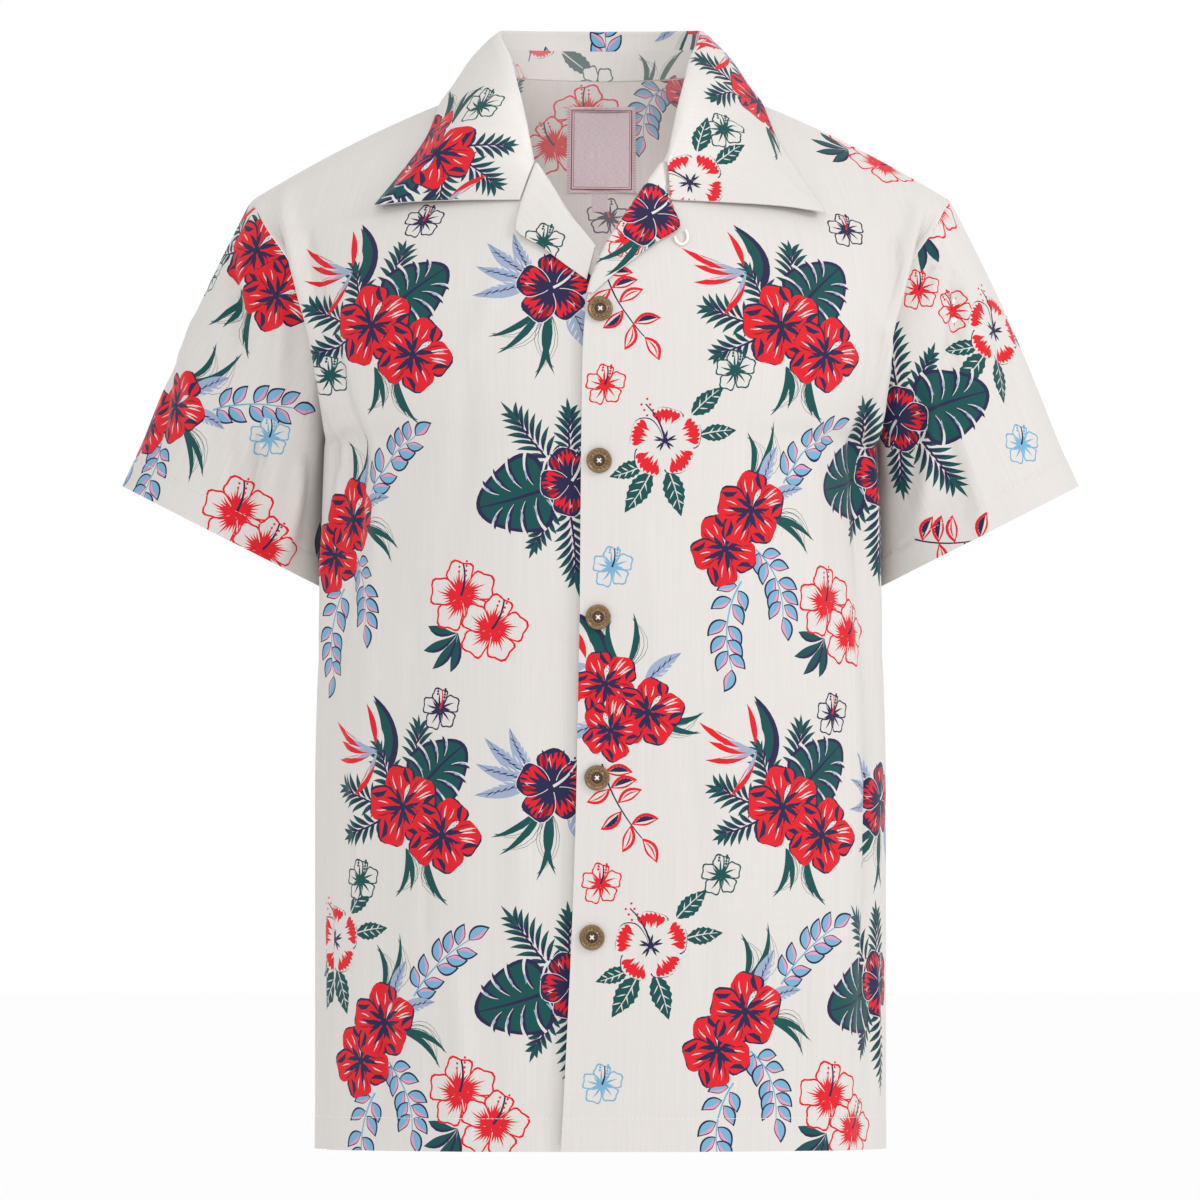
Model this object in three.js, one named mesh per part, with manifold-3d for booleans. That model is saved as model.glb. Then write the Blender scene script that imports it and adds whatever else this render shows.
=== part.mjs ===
// A short-sleeved shirt with an open notched collar, buttoned left over right and filled out
// as if worn on a general figure. Millimetres, +Z up. The front faces -Y and the wearer's left
// side is +X. The origin lies midway between the shoulders, at the height of the collar's foot.

import * as THREE from 'three';
import { mergeVertices } from 'three/addons/utils/BufferGeometryUtils.js';
import Module from 'manifold-3d';

const wasm = await Module();
wasm.setup();

// Driving sizes
const CLOTH = 1.6;            // cloth wall, seam allowances and interlining taken in
const SEAM = 0.35;            // gap between two pieces at a seam
const LAP = 3.8;              // how far the under front passes behind the upper one
const SQUARE = 0.87;          // exponent of the torso's rounded section, 1 is an ellipse
const WRAP = Math.PI / 2;     // a front or half back turns through a right angle
const NECK = { halfWidth: 60, sideY: 12, backY: 78, backZ: 15, sideZ: 17 };
const HOLE = { x: 218, y: 17, z: -158 };   // middle of an armhole
const BUTTON = { radius: 8.8, thick: 2.6, well: 4.6, hole: 0.9, holeAt: 1.9 };
const LABEL = { left: -24.1, right: 25.5, top: -1, bottom: -61.6, thick: 0.8 };
const CHORD = 1.5;            // clears the flat faces between a panel's points
const TAB = { left: -6.4, right: 5.3, top: -61.95, bottom: -75, thick: 0.6 };
const HALF_SEAM = SEAM / 2;   // each side panel stands back this far at the side seam
const TOP_SEAM = 0.8 * SEAM;  // each panel stands back this far at the sloping shoulder seam
const SLEEVE_SEAM = 1.8 * SEAM;   // the sleeve starts this far out from the armhole's line

const table = (names, rows) => rows.map(
  (row) => Object.fromEntries(names.split(' ').map((name, i) => [name, row[i]])));

// Half fronts, one row for each level from the shoulder seam to the hem. over and under are the
// inner edge of the upper and of the under front, measured to the panel's own side. arm is the
// outer end, on the armhole down to the underarm and then on the side seam.
const FRONT = table('over under neckY neckZ armX armY armZ round arch drape tuck', [
  [60, 60, 12, 17, 246, 12, -70, 0, 7, 0, 0],            // shoulder seam
  [60, 61, -12, 6, 242, -3, -76, 0.35, 6, 1, 0],
  [56, 57.5, -41, -14, 235, -17, -89, 0.6, 4, 5, 3],
  [44, 46, -76, -43, 223, -29, -106, 0.8, 2, 9, 7],      // head of the lapel
  [33, 36, -94, -59, 213, -38, -123, 0.95, 1, 11, 7],
  [19, 23, -112, -80, 206.5, -43, -141, 1, 0, 11, 5],
  [2, 2, -128, -107, 202.5, -45, -158, 1, 0, 10, 3],     // foot of the neck opening
  [-9, -14, -139, -139, 199, -43, -180, 1, 0, 9, 1],     // foot of the lapel
  [-12.3, -15, -145, -172, 195.5, -32, -204, 1, 0, 8, 0],
  [-13, -15, -148, -207, 192, -9, -227, 1, 0, 8, 0],
  [-13.5, -15, -149, -245, 190, 22, -245, 1, 0, 9, 0],   // underarm
  [-14, -15, -148, -300, 191, 22, -300, 1, 0, 10, 0],
  [-14.4, -15, -147, -350, 194.5, 20, -350, 1, 0, 8, 0],
  [-15.5, -15, -145, -410, 199, 18, -410, 1, 0, 3, 0],
  [-17, -15, -142, -490, 200.6, 16, -490, 1, 0, 0, 0],
  [-20, -15, -139, -580, 200.6, 15, -580, 1, 0, 0, 0],
  [-24, -15, -136, -665, 200.6, 15, -665, 1, 0, 0, 0],
  [-27.7, -15, -133, -735, 200.6, 15, -735, 1, 0, 0, 0], // hem
]);
const UNDERARM = 10;
const HEM = FRONT.length - 1;
const LAPEL_HEAD = 3;

// Half back at the same levels: the middle of the back, and how far back the armhole runs.
const BACK = table('midY midZ armY', [
  [78, 15, 12], [94, -9, 26], [108, -36, 40], [120, -66, 52], [128, -92, 61], [134, -118, 67],
  [138, -143, 70], [140, -170, 70], [141, -198, 61], [142, -222, 43], [142, -245, 22],
  [141, -300, 22], [140, -350, 20], [139, -410, 18], [138, -490, 16], [137, -580, 15],
  [136, -665, 15], [135, -735, 15],
]);
const NECK_SHARE = 0.22;      // share of a half back's top edge that is neckline
const NECK_FADE = 4.6;        // levels over which the neckline's shape melts into the back

// Soft upright folds: where across the panel, between which levels, how wide and how high.
const FOLDS = {
  over: table('at from to wide high lean', [
    [0.80, 11, 17.5, 0.05, -3.4, -0.004], [0.62, 12.5, 19, 0.07, 2.6, 0.004],
    [0.42, 10, 18, 0.08, -1.6, 0.006], [0.26, 12, 19, 0.06, 1.4, -0.004],
  ]),
  under: table('at from to wide high lean', [
    [0.88, 13, 20, 0.05, -4.2, -0.006], [0.73, 12, 20, 0.07, 2.8, 0.003],
    [0.50, 11.5, 17, 0.05, -2.4, 0.004], [0.30, 13, 19, 0.07, 1.6, 0.002],
  ]),
  back: table('at from to wide high lean', [
    [-0.74, 8, 20, 0.06, 5.0, 0.006], [-0.58, 9, 19, 0.06, -4.6, 0.002],
    [-0.22, 10, 20, 0.08, 3.2, 0.004], [0.05, 11, 20, 0.07, -3.0, -0.003],
    [0.34, 9, 20, 0.07, 3.8, -0.002], [0.60, 8, 19, 0.06, -4.8, -0.004],
    [0.77, 9, 20, 0.06, 4.4, -0.006],
  ]),
};

// Collar stations from the middle of the back to the gorge. seam counts along the neck seam, 4 at
// the shoulder. roll is the fold, edge the leaf's free edge, own the same on the wearer's left.
const COLLAR = table('seam rollX rollY rollZ share edgeX edgeZ ownX ownZ lift', [
  [0, 0, 90, 50.5, 0.6, 0, -4, 0, -4, 5],
  [1, 30, 86, 50.5, 0.6, 38, -4, 38, -4, 5],
  [2, 54, 69, 50.5, 0.6, 72, -6, 73, -6, 5],
  [3, 68, 42, 50.3, 0.6, 96, -9, 98, -8, 4],
  [4, 71, 8, 47, 0.6, 109, 3, 110, 3, 4],                // on the shoulder seam
  [5, 63, -24, 29, 0.6, 122, -29, 124, -31, 3],
  [5.6, 59, -41, 13, 0.55, 156, -78, 155, -83, 7],       // point of the leaf
  [6, 56, -49, 2, 0.5, 128, -75, 126, -78, 6],
  [6.5, 51, -63, -20, 0.4, 88, -72.5, 84, -74, 4],
  [7, 46, -79, -44, 0.25, 56, -71.5, 48.6, -71.5, 2.4],  // gorge
]);
const SHOULDER = 4;
const STAND_END = 6.5;
const ROLL_HALF = 2.6;        // half the thickness of the collar's fold

// Lapels: level of the fold and the free edge on each side, from the gorge to the foot.
const LAPEL = {
  under: table('level edgeX edgeZ lift', [
    [3.1, 55.2, -73.8, 2.2], [3.6, 58.5, -92, 4], [4.5, 41, -104.5, 2.6],
    [5.4, 23, -117.5, 2.2], [5.9, 9.5, -127, 2.2],
  ]),
  over: table('level edgeX edgeZ lift', [
    [3.1, 47.4, -73.8, 2.2], [3.6, 55, -90, 4], [4.5, 38, -102, 2.6],
    [5.5, 18, -116.5, 2.2], [6.2, 5, -127, 2.2], [6.9, -5.5, -136.5, 2.2],
  ]),
};

// Sleeve hem ring: outer corner seen from the front, inner end behind the body, and depth.
const CUFF = { outX: 336, outZ: -270, inX: 197, inZ: -340.5, y: 31, depth: 62 };

// How a sleeve rounds out between the armhole and its hem: by how much, the share left at the
// front and back, how early the swell ends, and the way it goes. Behind flatFrom it stays flat.
const SWELL = { high: 3, least: 0.35, early: 1.2, sideways: 0.9, upward: 0.44, flatFrom: -0.6 };

// A lapel lies this far off its front at the fold, and takes this share of its lift at the edge.
const LAPEL_OFF = 0.45;
const LAPEL_SHARE = 0.8;

const BUTTONS = table('x z', [
  [-0.3, -147], [-1, -252.7], [-1.7, -361.9], [-2.5, -473.9], [-6, -585.2],
]);

// The cloth loop's route on the upper front, from the lapel's corner round and back under it.
const LOOP = {
  radius: 1,
  lift: 1.6,
  route: table('x z', [
    [51.5, -97], [53, -100.5], [56.5, -102.5], [60, -100], [60.3, -95.5], [59, -92.5],
  ]),
};

const mix = (a, b, k) => a + (b - a) * k;
const clamp = (x, low, high) => Math.min(high, Math.max(low, x));
const bell = (x, middle, wide) => Math.exp(-(((x - middle) / wide) ** 2));
const ease = (a, b, x) => {
  const k = clamp((x - a) / (b - a), 0, 1);
  return k * k * (3 - 2 * k);
};
const vec = (x, y, z) => new THREE.Vector3(x, y, z);
const between = (a, b, k) => a.clone().lerp(b, k);
const steps = (from, to, count) => Array.from(
  { length: count + 1 }, (_, k) => mix(from, to, k / count));

// The columns of a table at a fractional row, each along its own smooth curve without overshoot.
function at(rows, s) {
  const k = clamp(Math.floor(s), 0, rows.length - 2);
  const u = clamp(s, 0, rows.length - 1) - k;
  const slope = (name, i) => {
    const before = i > 0 ? rows[i][name] - rows[i - 1][name] : null;
    const after = i < rows.length - 1 ? rows[i + 1][name] - rows[i][name] : null;
    if (before === null || after === null) return before ?? after;
    return before * after > 0 ? (2 * before * after) / (before + after) : 0;
  };
  const found = {};
  for (const name of Object.keys(rows[0])) {
    const [a, b] = [rows[k][name], rows[k + 1][name]];
    const [da, db] = [slope(name, k), slope(name, k + 1)];
    found[name] = a + u * (da + u * (3 * (b - a) - 2 * da - db + u * (2 * (a - b) + da + db)));
  }
  return found;
}

// The height of the soft folds at a place on a panel.
function folds(name, t, s) {
  let high = 0;
  for (const f of FOLDS[name]) {
    const along = ease(f.from, f.from + 3, s) * (1 - ease(f.to - 2.5, f.to, s));
    high += f.high * along * bell(t, f.at + f.lean * (s - f.from), f.wide);
  }
  return high;
}

// A front before its folds. name is over or under, t runs from its inner edge to the armhole.
function frontForm(name, t, s) {
  const r = at(FRONT, s);
  const edge = r[name];
  const across = mix(t, Math.sin(WRAP * t) ** SQUARE, r.round);
  const back = mix(t, 1 - Math.max(0, Math.cos(WRAP * t)) ** SQUARE, r.round);
  const x = edge + (r.armX - edge) * across;
  const y = r.neckY + (r.armY - r.neckY) * back;
  const z = r.neckZ + (r.armZ - r.neckZ) * across + r.arch * 4 * t * (1 - t);
  const behind = name === 'under' ? LAP * ease(4.6, 6, s) * (1 - ease(22, 60, x)) : 0;
  return vec(name === 'over' ? x : -x, y + behind, z);
}

// A half back before its folds, with the neckline and shoulder seam along its top edge.
function backForm(name, t, s) {
  const [r, b] = [at(FRONT, s), at(BACK, s)];
  const k = Math.abs(t);
  const across = Math.sin(WRAP * k) ** SQUARE;
  const point = vec(r.armX * across,
    b.armY + (b.midY - b.armY) * Math.max(0, Math.cos(WRAP * k)) ** SQUARE,
    b.midZ + (r.armZ - b.midZ) * across);
  const fade = 1 - clamp(s / NECK_FADE, 0, 1);
  if (fade > 0) {
    const top = backTop(k);
    const plain = vec(FRONT[0].armX * across,
      NECK.sideY + (NECK.backY - NECK.sideY) * Math.max(0, Math.cos(WRAP * k)) ** SQUARE,
      NECK.backZ + (FRONT[0].armZ - NECK.backZ) * across);
    point.addScaledVector(top.sub(plain), fade * fade);
  }
  if (t < 0) point.x = -point.x;
  return point;
}

// The top edge of a half back: a quarter of the neckline, then the shoulder seam.
function backTop(k) {
  if (k < NECK_SHARE) {
    const turn = (WRAP * k) / NECK_SHARE;
    return vec(NECK.halfWidth * Math.sin(turn),
      NECK.sideY + (NECK.backY - NECK.sideY) * Math.cos(turn),
      mix(NECK.backZ, NECK.sideZ, k / NECK_SHARE));
  }
  return shoulder((k - NECK_SHARE) / (1 - NECK_SHARE));
}

// The shoulder seam, from the neck at 0 to the armhole at 1.
function shoulder(t) {
  const r = FRONT[0];
  return vec(mix(NECK.halfWidth, r.armX, t), r.armY,
    mix(r.neckZ, r.armZ, t) + r.arch * 4 * t * (1 - t));
}

const PANEL = {
  over: { form: frontForm, from: 0, to: 1 },
  under: { form: frontForm, from: 0, to: 1 },
  back: { form: backForm, from: -1, to: 1 },
};
const STEP = 0.004;
const WAIST = -400;           // a shoulder's outer side faces away from this height

// The way out of a panel's form at a place: away from the garment's middle line.
function wayOut(name, t, s) {
  const { form, from, to } = PANEL[name];
  const [t0, t1] = [Math.max(from, t - STEP), Math.min(to, t + STEP)];
  const [s0, s1] = [Math.max(0, s - STEP), Math.min(HEM, s + STEP)];
  const across = form(name, t1, s).sub(form(name, t0, s));
  const down = form(name, t, s1).sub(form(name, t, s0));
  const normal = across.cross(down).normalize();
  const point = form(name, t, s);
  const middle = vec(0, NECK.sideY, Math.abs(normal.z) > 0.5 ? WAIST : point.z);
  return normal.dot(point.sub(middle)) < 0 ? normal.negate() : normal;
}

// A panel's outer face with its folds. Its seams stay where the neighbours meet them.
function surface(name, t, s) {
  const point = PANEL[name].form(name, t, s);
  const k = Math.abs(t);
  const r = at(FRONT, s);
  let high = folds(name, t, s);
  if (name !== 'back') high += r.drape * bell(k, 0.845, 0.055) - r.tuck * bell(k, 0.94, 0.035);
  else high -= 0.5 * r.drape * bell(k, 0.9, 0.05) * (1 - ease(8, 12, s));
  const held = ease(0, 0.05, 1 - k) * ease(0, 0.8, s);
  return point.addScaledVector(wayOut(name, t, s), high * held);
}

// A coarse net over a panel, from which placeAt starts.
const nets = {};
function netOver(name) {
  const { from, to } = PANEL[name];
  nets[name] ??= steps(from, to, 24).flatMap((t) => steps(0, HEM, 34).map(
    (s) => ({ t, s, p: surface(name, t, s) })));
  return nets[name];
}

// The place on a panel that is seen at x, z: the nearest of its net, then a few Newton steps.
function placeAt(name, x, z) {
  const { from, to } = PANEL[name];
  const far = ({ p }) => (p.x - x) ** 2 + (p.z - z) ** 2;
  let { t, s } = netOver(name).reduce((best, place) => (far(place) < far(best) ? place : best));
  for (let turn = 0; turn < 6; turn++) {
    const p = surface(name, t, s);
    const a = surface(name, clamp(t + STEP, from, to), s).sub(p).divideScalar(STEP);
    const b = surface(name, t, clamp(s + STEP, 0, HEM)).sub(p).divideScalar(STEP);
    const det = a.x * b.z - a.z * b.x;
    if (Math.abs(det) < 1) break;
    const [dx, dz] = [x - p.x, z - p.z];
    t = clamp(t + (dx * b.z - dz * b.x) / det, from, to - STEP);
    s = clamp(s + (a.x * dz - a.z * dx) / det, 0, HEM - STEP);
  }
  return [t, s];
}

// The point of a panel that is seen at x, z, moved out by lift.
function on(name, x, z, lift) {
  const [t, s] = placeAt(name, x, z);
  return surface(name, t, s).addScaledVector(wayOut(name, t, s), lift);
}

// A closed cloth wall behind a grid of outer points. facing is 1 where across x down looks out.
// A ring closes across. rim gives the way in for the points of an edge that meets another piece.
function wall(grid, { facing = 1, ring = false, thick = CLOTH, rim = () => null } = {}) {
  const [rows, cols] = [grid.length, grid[0].length];
  const col = (j) => (ring ? (j + cols) % cols : clamp(j, 0, cols - 1));
  const row = (i) => clamp(i, 0, rows - 1);
  const normal = (i, j) => {
    const across = grid[i][col(j + 1)].clone().sub(grid[i][col(j - 1)]);
    const down = grid[row(i + 1)][j].clone().sub(grid[row(i - 1)][j]);
    return across.cross(down).normalize().multiplyScalar(facing);
  };
  const inner = grid.map((line, i) => line.map((p, j) => {
    const way = normal(i, j).negate();
    const toward = rim(i, j, p);
    if (toward) way.multiplyScalar(0.5).add(toward).normalize();
    return p.clone().addScaledVector(way, thick);
  }));
  const positions = [...grid.flat(), ...inner.flat()].flatMap((p) => [p.x, p.y, p.z]);
  const id = (i, j, deep) => deep * rows * cols + i * cols + (ring ? j % cols : j);
  const index = [];
  const quad = (a, b, c, d) => index.push(a, b, c, a, c, d);
  const spans = ring ? cols : cols - 1;
  for (let i = 0; i < rows - 1; i++) {
    for (let j = 0; j < spans; j++) {
      quad(id(i, j, 0), id(i, j + 1, 0), id(i + 1, j + 1, 0), id(i + 1, j, 0));
      quad(id(i, j, 1), id(i + 1, j, 1), id(i + 1, j + 1, 1), id(i, j + 1, 1));
    }
    if (!ring) {
      quad(id(i, 0, 0), id(i + 1, 0, 0), id(i + 1, 0, 1), id(i, 0, 1));
      quad(id(i, spans, 0), id(i, spans, 1), id(i + 1, spans, 1), id(i + 1, spans, 0));
    }
  }
  for (let j = 0; j < spans; j++) {
    quad(id(0, j, 0), id(0, j, 1), id(0, j + 1, 1), id(0, j + 1, 0));
    quad(id(rows - 1, j, 0), id(rows - 1, j + 1, 0), id(rows - 1, j + 1, 1), id(rows - 1, j, 1));
  }
  return facedOut(positions, index);
}

// A geometry whose faces point out: turned over where its volume comes out negative.
function facedOut(positions, index) {
  const corner = (k) => vec(positions[3 * k], positions[3 * k + 1], positions[3 * k + 2]);
  let volume = 0;
  for (let k = 0; k < index.length; k += 3) {
    volume += corner(index[k]).dot(corner(index[k + 1]).cross(corner(index[k + 2])));
  }
  if (volume < 0) index.reverse();
  const geometry = new THREE.BufferGeometry();
  geometry.setAttribute('position', new THREE.Float32BufferAttribute(positions, 3));
  geometry.setIndex(index);
  geometry.computeVertexNormals();
  return geometry;
}

const ARM_LEVELS = [...steps(0, LAPEL_HEAD, 5), ...steps(LAPEL_HEAD, UNDERARM, 10).slice(1)];
const LEVELS = [...ARM_LEVELS, ...steps(UNDERARM, HEM, 13).slice(1)];
const FRONT_ACROSS = [...steps(0, 0.63, 7), 0.71, 0.78, 0.83, 0.875, 0.915, 0.955, 1];
const NECK_ACROSS = steps(0, NECK_SHARE, 4);
const SIDE_ACROSS = [0.3, 0.38, 0.46, 0.54, 0.62, 0.7, 0.78, 0.85, 0.91, 0.96, 1];
const HALF_BACK = [...NECK_ACROSS, ...SIDE_ACROSS];
const BACK_ACROSS = [...HALF_BACK.slice(1).reverse().map((t) => -t), ...HALF_BACK];

// Ways into the garment that the walls on both sides of a seam share, at an armhole and along
// the shoulder seam.
const intoHole = (p) => vec(HOLE.x * Math.sign(p.x), HOLE.y, HOLE.z).sub(p).normalize();
const SHOULDER_DOWN = vec(-0.84, 0, -1.8);
const SIDE_IN = vec(-2, 0, 0);
const mirrored = (way, p) => vec(way.x * Math.sign(p.x), way.y, way.z);
const belowShoulder = (p) => mirrored(SHOULDER_DOWN, p);
const fromSide = (p) => mirrored(SIDE_IN, p);

function front(name) {
  const grid = LEVELS.map((s) => FRONT_ACROSS.map((t) => surface(name, t, s)));
  const last = FRONT_ACROSS.length - 1;
  grid.forEach((line, i) => {
    if (LEVELS[i] >= UNDERARM) line[last].y -= HALF_SEAM;
    if (i === 0) line.forEach((p) => { p.y -= TOP_SEAM; });
  });
  return wall(grid, {
    facing: name === 'over' ? -1 : 1,
    rim: (i, j, p) => {
      if (i === 0) return belowShoulder(p);
      if (j !== last) return null;
      return LEVELS[i] < UNDERARM ? intoHole(p) : fromSide(p);
    },
  });
}

function back() {
  const grid = LEVELS.map((s) => BACK_ACROSS.map((t) => surface('back', t, s)));
  const last = BACK_ACROSS.length - 1;
  const neck = (j) => Math.abs(BACK_ACROSS[j]) < NECK_SHARE - 1e-9;
  grid.forEach((line, i) => {
    if (LEVELS[i] >= UNDERARM) [line[0], line[last]].forEach((p) => { p.y += HALF_SEAM; });
    if (i === 0) line.forEach((p, j) => { if (!neck(j)) p.y += TOP_SEAM; });
  });
  return wall(grid, {
    facing: 1,
    rim: (i, j, p) => {
      if (i === 0 && !neck(j)) return belowShoulder(p);
      if (j !== 0 && j !== last) return null;
      return LEVELS[i] < UNDERARM ? intoHole(p) : fromSide(p);
    },
  });
}

// The armhole as a closed line: down the front from the shoulder, up the back.
function armhole(side) {
  const name = side > 0 ? 'over' : 'under';
  const down = ARM_LEVELS.map((s) => frontForm(name, 1, s));
  const up = ARM_LEVELS.slice(1, -1).reverse().map((s) => backForm('back', side, s));
  return [...down, ...up];
}

function cuff(side, turn) {
  const middle = vec((CUFF.outX + CUFF.inX) / 2, CUFF.y, (CUFF.outZ + CUFF.inZ) / 2);
  const half = vec((CUFF.outX - CUFF.inX) / 2, 0, (CUFF.outZ - CUFF.inZ) / 2);
  middle.addScaledVector(half, Math.cos(turn));
  middle.y -= CUFF.depth * Math.sin(turn);
  middle.x *= side;
  return middle;
}

function sleeve(side) {
  const hole = armhole(side);
  const lengths = steps(0, 1, 9);
  const grid = lengths.map((k) => hole.map((p, j) => {
    const turn = (2 * Math.PI * j) / hole.length;
    const end = cuff(side, turn);
    const way = end.clone().sub(p).normalize();
    const start = p.clone().addScaledVector(way.add(vec(side, 0, 0)).normalize(), SLEEVE_SEAM);
    const point = between(start, end, k);
    const [cos, sin] = [Math.cos(turn), Math.sin(turn)];
    if (cos < SWELL.flatFrom) return point;
    const along = Math.sin(Math.PI * Math.min(1, k * SWELL.early));
    const away = vec(cos * SWELL.sideways * side, -sin, cos * SWELL.upward);
    return point.addScaledVector(away, SWELL.high * along * mix(SWELL.least, 1, Math.max(0, cos)));
  }));
  return wall(grid, {
    facing: side > 0 ? 1 : -1,
    ring: true,
    rim: (i, j, p) => (i === 0 ? intoHole(p) : null),
  });
}

const collarAt = (c) => {
  const k = COLLAR.findIndex((r) => r.seam >= c - 1e-9);
  if (k <= 0) return at(COLLAR, 0);
  const [a, b] = [COLLAR[k - 1], COLLAR[k]];
  return at(COLLAR, k - 1 + (c - a.seam) / (b.seam - a.seam));
};

// The neck seam at a collar station: along the back's neckline, then down a front.
function neckSeam(side, c) {
  if (c <= SHOULDER) {
    const p = backTop((c / SHOULDER) * NECK_SHARE);
    p.x *= side;
    return p;
  }
  return frontForm(side > 0 ? 'over' : 'under', 0, c - SHOULDER);
}

const rollAt = (side, c) => {
  const r = collarAt(c);
  return vec(r.rollX * side, r.rollY, r.rollZ);
};

// The leaf's free edge at each station, on the back, the shoulder seam or a front.
function leafEdge(side) {
  const frontName = side > 0 ? 'over' : 'under';
  return COLLAR.map((r) => {
    const [x, z] = side > 0 ? [r.ownX, r.ownZ] : [r.edgeX, r.edgeZ];
    if (r.seam < SHOULDER) return on('back', x * side, z, r.lift);
    if (r.seam > SHOULDER) return on(frontName, x * side, z, r.lift);
    const p = shoulder((x - NECK.halfWidth) / (FRONT[0].armX - NECK.halfWidth));
    return vec(p.x * side, p.y, p.z + r.lift);
  });
}

const EDGES = { '1': leafEdge(1), '-1': leafEdge(-1) };

function edgeAt(side, c) {
  const rows = EDGES[side].map((p) => ({ x: p.x, y: p.y, z: p.z }));
  const k = Math.max(1, COLLAR.findIndex((r) => r.seam >= c - 1e-9));
  const [a, b] = [COLLAR[k - 1].seam, COLLAR[k].seam];
  const p = at(rows, k - 1 + (c - a) / (b - a));
  return vec(p.x, p.y, p.z);
}

// Keeps a point of the leaf clear of the panel under it.
function clear(side, c, p, gap) {
  if (c > SHOULDER + 0.7) {
    const under = on(side > 0 ? 'over' : 'under', p.x, p.z, gap);
    p.y = Math.min(p.y, under.y);
  } else if (c < SHOULDER - 0.8 && p.z < 14) {
    const under = on('back', p.x, p.z, gap);
    p.y = Math.max(p.y, under.y);
  }
  return p;
}

// The leaf's section: its fold is halfThick round and bulges on the way down. Both flatten
// towards the gorge. ups are the shares from the foot to the fold with how far in each lies, in
// half thicknesses, and downs the shares from the fold to the free edge.
const LEAF = {
  gorgeHalf: 1.2, bulge: 7, gorgeBulge: 1.5, flatFrom: 6.2, flatTo: 7, innerY: 20,
  ups: [[0.75, 0.35], [1, 0.5], [1, -0.7]], downs: [0.12, 0.3, 0.5, 0.7, 0.86, 1],
  clearHead: 0.6, clearEdge: 1.2,
};

// The collar leaf's section at a station: up the inside from the stand, over the fold, down.
function leafSection(side, c) {
  const r = collarAt(c);
  const [seam, roll, edge] = [neckSeam(side, c), rollAt(side, c), edgeAt(side, c)];
  const inward = vec(-roll.x, LEAF.innerY - roll.y, 0).normalize();
  const foot = between(seam, roll, r.share).add(vec(0, 0, SEAM));
  const flat = ease(LEAF.flatFrom, LEAF.flatTo, c);
  const half = mix(ROLL_HALF, LEAF.gorgeHalf, flat);
  const bulge = mix(LEAF.bulge, LEAF.gorgeBulge, flat);
  const rising = LEAF.ups.map(
    ([k, halves]) => between(foot, roll, k).addScaledVector(inward, half * halves));
  const falling = LEAF.downs.map((k) => {
    const out = (half + bulge * Math.sin(Math.PI * k)) * (1 - k);
    const p = between(roll, edge, k).addScaledVector(inward, -out);
    return k < 1 ? clear(side, c, p, CLOTH + LEAF.clearHead + LEAF.clearEdge * k) : p;
  });
  return [foot, ...rising, ...falling];
}

const STATIONS = [
  0, 0.5, 1, 1.5, 2, 2.5, 3, 3.5, 4, 4.35, 4.7, 5, 5.3, 5.6, 5.8, 6, 6.25, 6.5, 6.75, 7,
];
const bothSides = (stations, make) => [
  ...stations.slice(1).reverse().map((c) => make(-1, c)),
  ...stations.map((c) => make(1, c)),
];

function collarLeaf() {
  const sections = bothSides(STATIONS, leafSection);
  const grid = sections[0].map((_, i) => sections.map((section) => section[i]));
  return wall(grid, { facing: -1, thick: CLOTH });
}

function collarStand() {
  const stations = STATIONS.filter((c) => c <= STAND_END);
  const sections = bothSides(stations, (side, c) => {
    const r = collarAt(c);
    const [seam, roll] = [neckSeam(side, c), rollAt(side, c)];
    const foot = seam.clone().add(vec(0, 0, SEAM));
    const top = between(seam, roll, r.share).add(vec(0, 0, -TOP_SEAM));
    return [foot, between(foot, top, 0.5), top];
  });
  const grid = sections[0].map((_, i) => sections.map((section) => section[i]));
  return wall(grid, { facing: -1 });
}

function lapel(name) {
  const side = name === 'over' ? 1 : -1;
  const rows = LAPEL[name];
  const places = steps(0, rows.length - 1, 2 * (rows.length - 1));
  const grid = places.map((k) => {
    const r = at(rows, k);
    const fold = frontForm(name, 0, r.level);
    return steps(0, 1, 5).map((u) => {
      const x = mix(fold.x, r.edgeX * side, u);
      const z = mix(fold.z, r.edgeZ, u);
      return on(name, x, z, CLOTH + LAPEL_OFF + (r.lift - CLOTH) * u * LAPEL_SHARE);
    });
  });
  return wall(grid, { facing: side > 0 ? -1 : 1 });
}

function innerPatch({ left, right, top, bottom, thick }) {
  const grid = steps(top, bottom, 5).map((z) => steps(left, right, 6).map(
    (x) => on('back', x, z, -(CLOTH + CHORD))));
  return wall(grid, { thick });
}

const solid = (geometry) => {
  const bare = geometry.clone();
  bare.deleteAttribute('normal');
  bare.deleteAttribute('uv');
  const merged = mergeVertices(bare, 1e-4);
  return new wasm.Manifold(new wasm.Mesh({
    numProp: 3,
    vertProperties: new Float32Array(merged.attributes.position.array),
    triVerts: new Uint32Array(merged.index.array),
  }));
};

// A turned button with a raised rim, a sunken middle and four sewing holes. Its axis is +Y.
function buttonGeometry() {
  const { radius, thick, well, hole, holeAt } = BUTTON;
  const profile = [
    [0, 0], [radius - 1.2, 0], [radius, 0.8], [radius, thick - 0.7], [radius - 0.8, thick],
    [well + 0.9, thick - 0.2], [well, thick - 1], [0, thick - 1.1],
  ].map(([r, y]) => new THREE.Vector2(r, y));
  let body = solid(new THREE.LatheGeometry(profile, 24));
  for (let k = 0; k < 4; k++) {
    const turn = (Math.PI / 2) * k + Math.PI / 4;
    const drill = new THREE.CylinderGeometry(hole, hole, 3 * thick, 6);
    drill.translate(holeAt * Math.cos(turn), 0, holeAt * Math.sin(turn));
    body = body.subtract(solid(drill));
  }
  const { vertProperties, triVerts } = body.getMesh();
  return facedOut(Array.from(vertProperties), Array.from(triVerts));
}

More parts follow.
